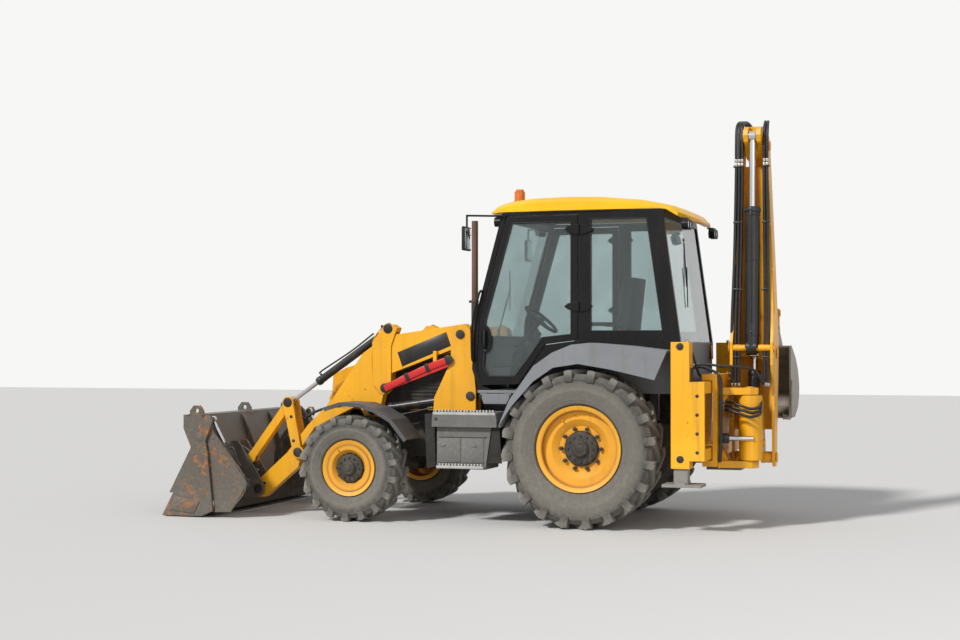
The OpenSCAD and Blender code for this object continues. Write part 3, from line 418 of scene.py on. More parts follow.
for side in (-1, 1):
    for x, z in ((1234, 1715), (1135, 1145)):
        tower_fittings.append(put(cap_pattern, at(x, side * 645, z), side * left))
    for x, z in ((1130, 880), (1130, 1000), (1300, 820), (1420, 820), (1470, 900)):
        tower_fittings.append(put(bolt_pattern, at(x, side * 638, z), side * left, 0.4))
settle(tower_fittings, "tower_pin_caps", chassis_black, "machine")
axle_fittings = []
for side in (-1, 1):
    for y in (-150, -50, 50, 150):
        axle_fittings.append(put(bolt_pattern, at(2060, y, 520), -ahead, side))
    axle_fittings.append(put(cap_pattern, at(2170, side * 720, 610), up))
settle(axle_fittings, "front_axle_bolts", chassis_black, "machine")

# Engine block. Cast iron under the bonnet, with its filters, a fan guard and ribs
# that stiffen the sump; it is bolted to the chassis rails.
cast_iron = finish("cast_iron", (0.13, 0.13, 0.125), 0.6, 0.7, 0.2)
dress(cast_iron, "engine_block")
filter_pattern = turned(48, 150, [(8, 6), (14, 10)], 28, 3.0)
engine_parts = [put(filter_pattern, at(x, side * 238, 760),
                    up) for x in (1480, 1640) for side in (-1, 1)]
for z in (860, 960, 1060, 1160):
    engine_parts.append(block((1500, -252, z), (2150, 252, z + 14), 2))
settle(engine_parts, "engine_ribs", cast_iron, "machine")
drop(filter_pattern)

# Bonnet. Pressed steel sheet in yellow enamel, hinged at the back, with a wire mesh
# behind its grille slots, two round work lamps in the nose and a pair of catches.
yellow_arm = finish("yellow_arm", enamel, 0.36, 0.14, 0.36, splash=0.9, coat=0.08, specular=0.4)
dress(yellow_arm, "bonnet", "loader_arms", "bell_cranks")
barrel_black = finish("barrel_black", (0.012, 0.012, 0.013), 0.32, 0.1, 0.12, specular=0.45)
lamp_pattern = turned(74, 10, [(6, 8), (4, -6), (20, 2)], 32, 2.0)
bonnet_lamps = [put(lamp_pattern, at(2628, side * 250, 1205), ahead) for side in (-1, 1)]
settle(bonnet_lamps, "bonnet_lamps", barrel_black, "bonnet")
drop(lamp_pattern)
bpy.ops.object.select_all(action="DESELECT")
bpy.ops.mesh.primitive_grid_add(x_subdivisions=44, y_subdivisions=16, size=1)
mesh_panel = bpy.context.object
for corner in mesh_panel.data.vertices:
    corner.co = at(2602, corner.co.x * 600, 1190 + corner.co.y * 220)
wires = mesh_panel.modifiers.new("wires", "WIREFRAME")
wires.thickness = 0.003
bpy.ops.object.modifier_apply(modifier="wires")
settle(mesh_panel, "grille_mesh", barrel_black, "bonnet")
catch_parts = []
for side in (-1, 1):
    catch_parts.append(block((2300, side * 392 - 8, 1100), (2340, side * 392 + 8, 1180), 3))
    catch_parts.append(block((2308, side * 402 - 6, 1060), (2332, side * 402 + 6, 1150), 3))
settle(catch_parts, "bonnet_catches", barrel_black, "bonnet")
panel_grey = finish("panel_grey", (0.022, 0.022, 0.022), 0.5, 0.25, 0.1, splash=1.3, specular=0.3)
panels = []
for side in (-1, 1):
    y0, y1 = sorted((side * 383, side * 389))
    panels.append(slab([(1140, 1010), (1140, 1560), (1890, 1490), (2420, 1350), (2500, 1180),
                        (2490, 1010)],
                       "y", y0, y1, 2))
    y0, y1 = sorted((side * 388, side * 396))
    for i in range(9):
        panels.append(slab([(1500, 1100 + 34 * i), (1860, 1100 + 34 * i), (1856, 1112 + 34 * i),
                            (1504, 1112 + 34 * i)], "y", y0, y1, 2, 35, 1))
settle(panels, "bonnet_side_panels", panel_grey, "bonnet")


# Exhaust. A plain steel stack, rusted brown where it is hottest at the top and still
# black below, held by two band clamps and a stay to the tower.
def graded(material, socket, centre, kind, rows):
    """Feeds a socket of a finish from rows of (millimetres, colour) by radius or by height."""
    tree = material.node_tree
    coords = tree.nodes.new("ShaderNodeTexCoord")
    moved = tree.nodes.new("ShaderNodeMapping")
    moved.inputs["Location"].default_value = -centre
    tree.links.new(coords.outputs["Object"], moved.inputs["Vector"])
    if kind == "radius":
        flat = tree.nodes.new("ShaderNodeVectorMath")
        flat.operation = "MULTIPLY"
        flat.inputs[1].default_value = (1, 0, 1)
        tree.links.new(moved.outputs[0], flat.inputs[0])
        length = tree.nodes.new("ShaderNodeVectorMath")
        length.operation = "LENGTH"
        tree.links.new(flat.outputs[0], length.inputs[0])
        value = length.outputs["Value"]
    else:
        parts = tree.nodes.new("ShaderNodeSeparateXYZ")
        tree.links.new(moved.outputs[0], parts.inputs[0])
        value = parts.outputs[2]
    top = rows[-1][0]
    scaled = tree.nodes.new("ShaderNodeMapRange")
    scaled.inputs["From Max"].default_value = top / 1000
    tree.links.new(value, scaled.inputs["Value"])
    ramp = tree.nodes.new("ShaderNodeValToRGB")
    while len(ramp.color_ramp.elements) < len(rows):
        ramp.color_ramp.elements.new(0.5)
    for element, (place, colour) in zip(ramp.color_ramp.elements, rows):
        element.position = place / top
        element.color = (*colour, 1)
    tree.links.new(scaled.outputs["Result"], ramp.inputs["Fac"])
    if socket == "Height":
        rings = ramp.outputs["Color"]
        total = tree.nodes.new("ShaderNodeMath")
        total.operation = "ADD"
        tree.links.new(tree.nodes["worn"].outputs["Height"], total.inputs[0])
        tree.links.new(rings, total.inputs[1])
        tree.links.new(total.outputs[0], tree.nodes["raised"].inputs["Height"])
    else:
        tree.links.new(ramp.outputs["Color"], tree.nodes["worn"].inputs[socket])


exhaust_rust = finish("exhaust_rust", (0.13, 0.06, 0.035), 0.7, 0.25, 0.3,
                      chip_colour=(0.03, 0.025, 0.02, 1))
graded(exhaust_rust, "Clean", Vector((0, 0, 0)), "height",
       [(0, (0.02, 0.02, 0.02)), (2020, (0.02, 0.02, 0.02)), (2080, (0.12, 0.055, 0.035)),
        (2600, (0.16, 0.075, 0.045)), (3000, (0.10, 0.05, 0.035))])
dress(exhaust_rust, "exhaust_stack")
band_pattern = turned(39, 26, [(3, 3)], 32, 1.5)
stack_parts = [put(band_pattern, at(1456, -446, z), up) for z in (1426, 1700, 2036)]
stack_parts.append(block((1486, -456, 2036), (1516, -436, 2062), 2))
stack_parts.append(block((1486, -456, 1700), (1516, -436, 1726), 2))
settle(stack_parts, "exhaust_clamps", exhaust_rust, "machine")
drop(band_pattern)

# Wheels. Steel rims in the same yellow under dried mud, with painted shade in the
# dish and in a ring inside the lip, dark cast hubs, and black rubber tyres that months
# of dry clay have turned brown-grey on the walls.
wheel_centres = {"front": at(2170, 0, 485), "rear": at(0, 0, 700)}
hub_radius = {"front": 128, "rear": 150}
rim_radius = {"front": 236, "rear": 362}
tyre_radius = {"front": 485, "rear": 700}
hub_dark = (0.016, 0.015, 0.014)
rim_yellow_and_shade = {}
tyre_rubber = {}
for end in ("front", "rear"):
    rim_yellow_and_shade[end] = finish(f"rim_yellow_and_shade_{end}", (0.88, 0.40, 0.008), 0.5, 0.2, 0.3, splash=1.5,
                             specular=0.35)
    hub, rim_edge, tread = hub_radius[end], rim_radius[end], tyre_radius[end]
    # Painted shade: the dish is a little darker than the lip, and the dark orange ring just inside the
    # lip is the lip's shadow painted into the dish. The dark centre is the hub's own colour.
    graded(rim_yellow_and_shade[end], "Clean", wheel_centres[end], "radius",
           [(0, hub_dark), (hub + 6, hub_dark), (hub + 10, (0.84, 0.36, 0.006)),
            (rim_edge - 40, (0.86, 0.38, 0.006)), (rim_edge - 26, (0.50, 0.19, 0.01)),
            (rim_edge - 6, (0.90, 0.42, 0.008)), (rim_edge + 40, (0.90, 0.42, 0.008))])
    dress(rim_yellow_and_shade[end], f"{end}_rim_left", f"{end}_rim_right")
    tyre_rubber[end] = finish(f"tyre_rubber_{end}", (0.055, 0.052, 0.047), 0.8, 0.42, 0.0,
                              splash=2.6,
                              bump=0.5, dust_colour=(0.30, 0.27, 0.22, 1), streaks=0.0,
                              specular=0.25)
    graded(tyre_rubber[end], "Clean", wheel_centres[end], "radius",
           [(0, (0.05, 0.048, 0.045)), (rim_edge + 18, (0.045, 0.043, 0.04)),
            (rim_edge + 44, (0.13, 0.122, 0.105)),
            ((rim_edge + tread) / 2, (0.15, 0.14, 0.12)), (tread - 118, (0.11, 0.106, 0.095)),
            (tread - 96, (0.05, 0.049, 0.047)), (tread - 60, (0.085, 0.083, 0.078)),
            (tread - 22, (0.17, 0.165, 0.15)),
            (tread + 4, (0.22, 0.21, 0.185))])
    flat = (0, 0, 0)
    ring = (1, 1, 1)
    rows = [(0, flat), (rim_edge + 26, flat), (rim_edge + 30, ring), (rim_edge + 36, ring),
            (rim_edge + 40, flat), (rim_edge + 70, flat), (rim_edge + 73, ring),
            (rim_edge + 77, ring), (rim_edge + 80, flat), (tread - 96, flat), (tread - 92, ring),
            (tread - 86, ring), (tread - 82, flat), (tread, flat)]
    graded(tyre_rubber[end], "Height", wheel_centres[end], "radius", rows)
    dress(tyre_rubber[end], f"{end}_tyre_left", f"{end}_tyre_right")
for end, lug_count, w, centre_y in (("rear", 20, 430, 875), ("front", 18, 330, 940)):
    r = tyre_radius[end]
    crown = r - (34 if end == "rear" else 24)
    middle = (rim_radius[end] + crown) / 2
    drop_angle = math.asin(0.2 * w / r)
    outline = [(w * 0.30, r - 50), (w * 0.505, middle + (r - middle) * 0.42),
               (w * 0.522, middle + (r - middle) * 0.46),
               (w * 0.512, r - 46), (w * 0.494, r - 10), (w * 0.47, r - 3), (w * 0.30, r - 2)]
    lug = slab(outline, "x", 1168 - w * 0.085, 1168 + w * 0.085, 4, 35, 1)
    for side, word in ((1, "left"), (-1, "right")):
        lugs = []
        for outer in (1, -1):
            for i in range(lug_count):
                turn = math.tau / lug_count * (i + (0 if outer > 0 else 0.5)) - drop_angle
                copy = lug.copy()
                copy.data = lug.data.copy()
                bpy.context.collection.objects.link(copy)
                flip = Matrix.Scale(side * outer, 4, (0, 1, 0))
                copy.data.transform(Matrix.Translation(wheel_centres[end] + left * side * centre_y / 1000)
                                    @ Matrix.Rotation(math.pi / 2 - turn, 4, "Y") @ flip)
                if side * outer < 0:
                    copy.data.flip_normals()
                lugs.append(copy)
        settle(lugs, f"{end}_tread_lugs_{word}", tyre_rubber[end], f"{end}_wheel_{word}")
    drop(lug)
nut_pattern = turned(19, 30, [(4, 8)], 6, 1.5)
for side, word in ((1, "left"), (-1, "right")):
    for end, y, dish in (("front", 940, 80), ("rear", 875, 60)):
        r = rim_radius[end] / 2000
        nuts = [put(nut_pattern,
                    wheel_centres[end] + Vector((r * math.cos(a), side * (y + dish - 2) / 1000,
                                                              r * math.sin(a))), side * left, a)
                for a in (math.tau / 10 * i for i in range(10))]
        settle(nuts, f"{end}_wheel_nuts_{word}", barrel_black, f"{end}_wheel_{word}")
drop(nut_pattern)
valve_pattern = turned(7, 34, [(2, 8)], 12, 0.8)
grease_pattern = turned(34, 4, [(6, 5), (14, 4)], 24, 1.5)
for side, word in ((1, "left"), (-1, "right")):
    for end, y, dish in (("front", 940, 80), ("rear", 875, 60)):
        centre = wheel_centres[end]
        rim_edge = rim_radius[end] / 1000
        parts = [put(valve_pattern, centre + Vector((0.5, 0, 0.8)) * rim_edge * 0.86
                     + left * side * (y + dish + 38) / 1000, side * left),
                 put(grease_pattern, centre + left * side * (y + dish + 70) / 1000, side * left)]
        settle(parts, f"{end}_hub_cap_{word}", rim_yellow_and_shade[end], f"{end}_wheel_{word}")
drop(valve_pattern, grease_pattern)

# Mudguards, fenders, floor, tanks and steps. Dark moulded plastic at the front, grey
# painted sheet under the cab, serrated steel treads and rubber flaps by the steps. At the
# front of the steps a black flap and strip are painted shade between wheel and box.
guard_plastic = finish("guard_plastic", (0.05, 0.054, 0.06), 0.5, 0.24, 0.03, splash=1.4,
                       dust_colour=(0.42, 0.40, 0.37, 1), specular=0.4)
dress(guard_plastic, "front_mudguards")
grey_sheet = finish("grey_sheet", (0.20, 0.21, 0.22), 0.45, 0.32, 0.15, splash=1.3,
                    dust_colour=(0.40, 0.38, 0.34, 1), specular=0.4)
dress(grey_sheet, "cab_floor")
tank_sheet = finish("tank_sheet", (0.11, 0.11, 0.105), 0.55, 0.45, 0.3, splash=1.2,
                    dust_colour=(0.33, 0.31, 0.27, 1), specular=0.35)
dress(tank_sheet, "side_tanks")
step_steel = finish("step_steel", (0.42, 0.42, 0.40), 0.5, 0.3, 0.2, metallic=0.2, splash=1.0)
# Black: rubber for the rear flaps, and painted shade for the front flap and strip.
flap_rubber_and_shade = finish("flap_rubber_and_shade", (0.012, 0.012, 0.012), 0.7, 0.12, 0.0, splash=1.2, streaks=0.0,
                     specular=0.25)
for side, word in ((1, "left"), (-1, "right")):
    def y(value):
        return side * value

    def spanned(x0, x1, y0, y1, z0, z1, width=2):
        return block((x0, min(y(y0), y(y1)), z0), (x1, max(y(y0), y(y1)), z1), width)

    treads = [spanned(x, x + 16, 1089, 1093, 1012, 1034, 1) for x in range(762, 1330, 30)]
    treads += [spanned(750, 1340, 1086, 1092, 988, 1012), spanned(866, 1310, 1078, 1084, 508, 532)]
    treads += [spanned(x, x + 14, 1076, 1084, 530, 552, 1) for x in range(880, 1296, 30)]
    settle(treads, f"step_treads_{word}", step_steel, "machine")
    # Painted shade: the front flap and the strip across the front end of the step box are black sheets
    # standing for the shade between the front wheel and the box. The rear flap and strip are rubber
    # flaps.
    flaps_and_shade = [slab([(1330, 520), (1420, 500), (1440, 990), (1352, 1000)], "y", y(1020), y(1034), 3),
             slab([(700, 560), (835, 560), (790, 880), (724, 930)], "y", y(1040), y(1054), 3),
             spanned(1340, 1352, 700, 1030, 560, 990), spanned(742, 754, 700, 1040, 600, 900)]
    settle(flaps_and_shade, f"step_flaps_and_shade_{word}", flap_rubber_and_shade, "machine")
    filler = turned(52, 14, [(6, 10), (10, 3)], 32, 2.5)
    box_parts = [put(filler, at(1230, y(960), 1012), up)]
    for x0, x1 in ((872, 1080), (1092, 1304)):
        box_parts.append(spanned(x0, x1, 1038, 1046, 556, 780, 6))
    for x in (940, 1236):
        box_parts.append(spanned(x, x + 44, 1044, 1052, 700, 722, 3))
    drop(filler)
    settle(box_parts, f"tank_covers_{word}", tank_sheet, "machine")
    bolts = []
    for x, z in ((700, 1150), (985, 1150), (1310, 950)):
        bolts.append(put(bolt_pattern, at(x, y(1090 if x > 1300 else 796), z), side * left,
                         0.3 * x))
    settle(bolts, f"fender_bolts_{word}", chassis_black, "machine")

# Cab shell and doors. Folded steel in satin black, with rubber seals round the glass,
# grab rails on the front pillars, a screen wiper and moulded door pulls.
cab_black = finish("cab_black", (0.007, 0.007, 0.008), 0.34, 0.04, 0.04, splash=1.6, streaks=0.05,
                   specular=0.18)
dress(cab_black, "cab_frame", "door_left", "door_right", "lamps_and_mirrors")
seal_rubber = finish("seal_rubber", (0.010, 0.010, 0.010), 0.6, 0.08, 0.0, splash=1.8, streaks=0.0,
                     specular=0.3)


def swept(points, radius, closed=False, name="tube"):
    """A round tube of a radius in millimetres along points in the shared frame."""
    line = bpy.data.curves.new(name, "CURVE")
    line.dimensions = "3D"
    line.bevel_depth = radius / 1000
    line.bevel_resolution = 3
    line.use_fill_caps = not closed
    spline = line.splines.new("POLY")
    spline.points.add(len(points) - 1)
    for knot, point in zip(spline.points, points):
        knot.co = (*point, 1)
    spline.use_cyclic_u = closed
    tube = bpy.data.objects.new(name, line)
    bpy.context.collection.objects.link(tube)
    bpy.ops.object.select_all(action="DESELECT")
    tube.select_set(True)
    bpy.context.view_layer.objects.active = tube
    bpy.ops.object.convert(target="MESH")
    tube = bpy.context.object
    bpy.ops.object.mode_set(mode="EDIT")
    bpy.ops.mesh.select_all(action="SELECT")
    bpy.ops.mesh.normals_make_consistent(inside=False)
    bpy.ops.object.mode_set(mode="OBJECT")
    bpy.ops.object.shade_smooth_by_angle(angle=math.radians(50))
    return tube


def smooth_path(knots, per_span=6):
    """Points on one smooth curve through its knots."""
    knots = [Vector(k) for k in knots]
    ends = [2 * knots[0] - knots[1]] + knots + [2 * knots[-1] - knots[-2]]
    path = []
    for before, a, b, after in zip(ends, ends[1:], ends[2:], ends[3:]):
        for i in range(per_span):
            t = i / per_span
            path.append(0.5 * ((2 * a) + (b - before) * t + (2 * before - 5 * a + 4 * b - after) * t * t
                               + (3 * a - before - 3 * b + after) * t ** 3))
    return path + [knots[-1]]


door_window = [(905, 1330), (955, 1410), (932, 1840), (680, 2720), (130, 2720), (130, 1710),
               (400, 1680), (540, 1480), (660, 1330)]
side_window = [(-50, 2740), (-560, 2740), (-700, 1740), (-50, 1740)]
for side, word in ((1, "left"), (-1, "right")):
    seal = swept([at(x, side * 796, z) for x, z in door_window], 9, True)
    settle(seal, f"door_seal_{word}", seal_rubber, f"door_{word}")
    seals = [swept([at(x, side * 794, z) for x, z in side_window], 9, True)]
    settle(seals, f"side_window_seal_{word}", seal_rubber, "machine")
    pull = smooth_path([at(936, side * 800, 1590), at(936, side * 836, 1604),
                        at(936, side * 842, 1670),
                        at(936, side * 836, 1736), at(936, side * 800, 1750)])
    lock = put(bolt_pattern, at(936, side * 812, 1562), side * left)
    settle([swept(pull, 11), lock], f"door_pull_{word}", seal_rubber, f"door_{word}")
    rail = smooth_path([at(1040, side * 806, 1480), at(1052, side * 836, 1500),
                        at(1050, side * 838, 1800),
                        at(985, side * 838, 2080), at(960, side * 806, 2100)])
    settle(swept(rail, 11), f"grab_rail_{word}", cab_black, "machine")
    inner_rail = smooth_path([at(880, side * 762, 1420), at(700, side * 730, 1440),
                              at(560, side * 730, 1600),
                              at(420, side * 762, 1720)])
    settle(swept(inner_rail, 12), f"door_rail_{word}", cab_black, f"door_{word}")
wiper = [swept([at(1052, 60, 1740), at(1010, -180, 2160)], 6),
         swept([at(1060, -330, 1960), at(970, -40, 2330)], 5),
         put(cap_pattern, at(1048, 60, 1735), ahead)]
settle(wiper, "screen_wiper", seal_rubber, "machine")
rear_wiper = [swept([at(-722, -60, 2560), at(-790, 150, 2150)], 6),
              swept([at(-775, 70, 2330), at(-815, 230, 1960)], 5),
              put(cap_pattern, at(-716, -60, 2565), -ahead)]
settle(rear_wiper, "rear_wiper", seal_rubber, "machine")

# Roof and beacon. A moulded yellow roof skin with rounded corners and three pressed
# channels, and a turning beacon under a ribbed amber lens on a rubber foot.
roof_plastic = finish("roof_plastic", (0.93, 0.50, 0.002), 0.36, 0.08, 0.06, splash=1.0,
                      streaks=0.12,
                      specular=0.4)
roof_top = ((-950, 2770), (-931, 2788), (-772, 2852), (-504, 2908), (-141, 2942), (182, 2952),
            (509, 2946),
            (746, 2918), (870, 2872), (930, 2838))
roof_low = ((-950, 2722), (-860, 2726), (-712, 2817), (775, 2817), (930, 2806))


def height_on(line, x):
    """Height of a line of [x, z] points at x."""
    for (xa, za), (xb, zb) in zip(line, line[1:]):
        if x <= xb:
            return za + (zb - za) * max(0, x - xa) / (xb - xa)
    return line[-1][1]


bpy.ops.object.select_all(action="DESELECT")
bpy.ops.mesh.primitive_cube_add(size=1)
roof = bpy.context.object
bpy.ops.object.mode_set(mode="EDIT")
bpy.ops.mesh.select_all(action="SELECT")
bpy.ops.mesh.subdivide(number_cuts=31)
bpy.ops.object.mode_set(mode="OBJECT")
for corner in roof.data.vertices:
    u, v, w = corner.co * 2
    across = v * math.sqrt(1 - (0.25 if u < 0 else 0.12) * u * u)
    x = -10 + 936 * u * math.sqrt(1 - (0.25 if u < 0 else 0.08) * v * v)
    rim = max(abs(u), abs(v))
    fall = 1 - math.sqrt(max(0.0, 1 - rim ** 14))
    channel = max(0.0, 1 - min(abs(across), abs(abs(across) - 0.5)) / 0.07) ** 0.5 * 9
    inner = 1 if rim < 0.86 else 0
    high = height_on(roof_top, x) + 10 * (1 - across * across) - channel * inner - 46 * fall
    low = height_on(roof_low, x) + 14 * fall - (10 if rim > 0.97 else 0)
    corner.co = at(x, 828 * across, low + (high - low) * (w + 1) / 2)
soften(roof, 0, 40)
settle(roof, "roof_shell", roof_plastic, "machine")
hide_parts("cab_roof")
beacon_amber = finish("beacon_amber", (0.85, 0.22, 0.01), 0.22, 0.15, 0.0, streaks=0.0)
beacon_amber.node_tree.nodes["Principled BSDF"].inputs["Transmission Weight"].default_value = 0.25
dress(beacon_amber, "beacon")
bpy.ops.object.select_all(action="DESELECT")
lens_ring = turned(50, 6, [], 36, 2.0)
rings = [put(lens_ring, at(700, 500, z), up) for z in range(2952, 3030, 12)]
settle(rings, "beacon_lens", beacon_amber, "machine")
drop(lens_ring)
foot = turned(66, 16, [(6, 6)], 36, 3.0)
settle(put(foot, at(700, 500, 2918), up), "beacon_foot", seal_rubber, "machine")
drop(foot)


def make_glass(name, tint, rough):
    """Window glass with a film of dust."""
    material = finish(name, tint, rough, 0.05, 0.0, bump=0.0, streaks=0.03)
    shader = material.node_tree.nodes["Principled BSDF"]
    shader.inputs["Transmission Weight"].default_value = 0.96
    shader.inputs["IOR"].default_value = 1.45
    return material


window_glass = make_glass("window_glass", (0.60, 0.70, 0.70), 0.02)
dress(window_glass, "cab_glass", "door_glass_left", "door_glass_right")

# Work lamps and mirrors. Round lamps in rubber housings with fluted lenses, and
# mirror glass in a moulded shell on a bent tube.
lens_clear = finish("lens_clear", (0.75, 0.77, 0.78), 0.12, 0.12, 0.0, metallic=0.35, streaks=0.0)
lens_pattern = turned(37, 4, [(4, 3), (12, 2), (12, 1)], 28, 1.0)
lenses = []
for side in (-1, 1):
    for y in (600, 710):
        lenses.append(put(lens_pattern, at(862, side * y, 2740), ahead))
        lenses.append(put(lens_pattern, at(-912, side * y, 2680), -ahead))
lenses += [put(lens_pattern, at(2638, side * 250, 1205), ahead) for side in (-1, 1)]
lens_fixed = lenses[:-2]
settle(lenses[-2:], "bonnet_lamp_lenses", lens_clear, "bonnet")
settle(lens_fixed, "work_lamp_lenses", lens_clear, "machine")
drop(lens_pattern)
mirror_silver = finish("mirror_silver", (0.75, 0.78, 0.80), 0.05, 0.06, 0.0, metallic=1.0,
                       streaks=0.0)
mirrors = []
shells = []
for side in (-1, 1):
    y0, y1 = sorted((side * 888, side * 1052))
    mirrors.append(block((1042, y0, 2482), (1049, y1, 2668), 3))
    shells.append(block((1050, y0 - 12, 2466), (1078, y1 + 12, 2684), 10))
brackets = [slab([(-840, 2728), (-840, 2744), (-905, 2738), (-920, 2712), (-905, 2704),
                  (-890, 2720)], "y",
                 side * 655 - 60, side * 655 + 60, 4) for side in (-1, 1)]
settle(brackets, "rear_lamp_brackets", seal_rubber, "machine")
settle(mirrors, "mirror_glass", mirror_silver, "machine")
settle(shells, "mirror_shells", seal_rubber, "machine")
lamp_red = finish("lamp_red", (0.42, 0.006, 0.006), 0.2, 0.2, 0.0, streaks=0.0)
lamp_orange = finish("lamp_orange", (0.75, 0.2, 0.01), 0.2, 0.2, 0.0, streaks=0.0)
plate_white = finish("plate_white", (0.72, 0.72, 0.70), 0.4, 0.2, 0.04, splash=1.6)
for side, word in ((1, "left"), (-1, "right")):
    y0, y1 = sorted((side * 640, side * 720))
    settle([block((-876, y0, 1480), (-860, y1, 1560), 5),
            block((-878, y0 + 4, 1484), (-866, y1 - 4, 1516), 4)],
           f"tail_lamp_{word}", lamp_red, "machine")
    settle(block((-874, y0, 1564), (-860, y1, 1610), 5), f"turn_lamp_{word}", lamp_orange,
           "machine")
settle([block((-868, 300, 1480), (-860, 600, 1580), 3),
        put(bolt_pattern, at(-864, 320, 1530), -ahead),
        put(bolt_pattern, at(-864, 580, 1530), -ahead)], "blank_plate", plate_white, "machine")

# Driver's place. A sprung seat with sewn cushions and bellows, a dash with round
# gauges, loader levers at the side, digger levers at the back and two pedals.
inside_black = finish("inside_black", (0.016, 0.016, 0.017), 0.6, 0.08, 0.0, streaks=0.0,
                      specular=0.3)
dress(inside_black, "cab_controls")
seat_cloth = finish("seat_cloth", (0.035, 0.036, 0.04), 0.92, 0.18, 0.0, streaks=0.0)
weave = seat_cloth.node_tree.nodes.new("ShaderNodeTexWave")
weave.inputs["Scale"].default_value = 260
weave.inputs["Distortion"].default_value = 0.6
weave_coords = seat_cloth.node_tree.nodes.new("ShaderNodeTexCoord")
seat_cloth.node_tree.links.new(weave_coords.outputs["Object"], weave.inputs["Vector"])
seat_cloth.node_tree.links.new(weave.outputs["Fac"],
                               seat_cloth.node_tree.nodes["raised"].inputs["Height"])
seat_cloth.node_tree.nodes["raised"].inputs["Distance"].default_value = 0.0008
seat_cloth.node_tree.nodes["Principled BSDF"].inputs["Sheen Weight"].default_value = 0.25


def cushion(width, depth, thick, seams, name):
    """A sewn cushion on the origin, crowned between seams, its sides drawn in between corners."""
    bpy.ops.object.select_all(action="DESELECT")
    bpy.ops.mesh.primitive_cube_add(size=1)
    pad = bpy.context.object
    pad.name = name
    bpy.ops.object.mode_set(mode="EDIT")
    bpy.ops.mesh.select_all(action="SELECT")
    bpy.ops.mesh.subdivide(number_cuts=15)
    bpy.ops.object.mode_set(mode="OBJECT")
    for corner in pad.data.vertices:
        u, v, w = corner.co * 2
        rim_u, rim_v = 1 - abs(u) ** 6, 1 - abs(v) ** 6
        crown = (rim_u * rim_v) ** 0.5
        pulled = 1 - 0.05 * (1 - u * u) * abs(v) ** 3 - 0.04 * (1 - v * v) * abs(u) ** 3
        groove = max([0.0] + [1 - abs(v - s) / 0.1 for s in seams]) ** 2
        groove = max(groove, max(0.0, 1 - abs(abs(u) - 0.62) / 0.08) ** 2)
        top = thick * (0.30 + 0.34 * crown - (0.14 * groove if w > 0.9 else 0))
        bottom = -thick * (0.30 + 0.10 * crown)
        height = bottom + (top - bottom) * (w + 1) / 2
        corner.co = (u * width / 2 * pulled, v * depth / 2 * pulled, height)
    puff = pad.modifiers.new("puff", "SUBSURF")
    puff.levels = 1
    puff.render_levels = 1
    bpy.ops.object.modifier_apply(modifier="puff")
    bpy.ops.object.shade_smooth()
    return pad


seat_pad = cushion(0.50, 0.50, 0.15, [-0.45, 0.0, 0.45], "seat_pad")
seat_pad.data.transform(Matrix.Translation(at(0, 0, 1600)) @ Matrix.Rotation(math.radians(90), 4,
                                                                             "Z"))
settle(seat_pad, "seat_cushion", seat_cloth, "machine")
back_pad = cushion(0.46, 0.60, 0.14, [-0.5, 0.0, 0.45], "back_pad")
back_pad.data.transform(Matrix.Translation(at(-236, 0, 1945)) @ Matrix.Rotation(math.radians(-7),
                                                                                4, "Y")
                        @ Matrix.Rotation(math.radians(90), 4,
                                          "Z") @ Matrix.Rotation(math.radians(90), 4, "X"))
settle(back_pad, "back_cushion", seat_cloth, "machine")
bellows = turned(150, 30,
                 [(-10, 14), (12, 16), (-12, 14), (12, 16), (-12, 14), (12, 16), (-12, 14),
                           (12, 20)], 28, 2.0)
seat_parts = [put(bellows, at(-10, 0, 1290), up), block((-200, -200, 1205), (180, 200, 1290), 8),
              block((-230, -230, 1500), (210, 230, 1558), 10)]
back_shell = slab([(-262, 1600), (-226, 1612), (-296, 2240), (-332, 2236)], "y", -215, 215, 10)
seat_parts.append(back_shell)
for side in (-1, 1):
    y0, y1 = sorted((side * 262, side * 312))
    seat_parts.append(block((-200, y0, 1790), (80, y1, 1826), 12))
    seat_parts.append(block((-240, y0 + 10, 1640), (-200, y1 - 10, 1800), 6))
seat_base = settle(seat_parts, "seat_base", inside_black, "machine")
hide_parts("operator_seat")
drop(bellows)
gauge_pattern = turned(38, 8, [(4, -3), (28, 2)], 28, 1.0)
dash = [put(gauge_pattern, at(868 - 40 * (i % 2), -48 + 48 * (i // 2 % 3), 1580 + 34 * (i % 2)),
            Vector((-0.62, 0, 0.78))) for i in range(0, 6, 2)]
for y in (330, 390):
    dash += [swept(smooth_path([at(120, y, 1460), at(150, y, 1640), at(190, y, 1720)]), 8),
             swept([at(190, y, 1715), at(197, y, 1765)], 20)]
for y in (-130, 130):
    dash.append(slab([(690, 1290), (700, 1282), (770, 1400), (760, 1408)], "y", y - 40, y + 40, 4))
    dash.append(swept([at(764, y, 1404), at(800, y, 1420)], 9))
dash += [block((100, 300, 1206), (320, 430, 1470), 14),
         block((560, -110, 1206), (700, 110, 1222), 4)]
for y in (-150, 150):
    dash.append(swept([at(-562, y, 1952), at(-552, y, 1990)], 24))
settle(dash, "dash_and_levers", inside_black, "machine")
drop(gauge_pattern)

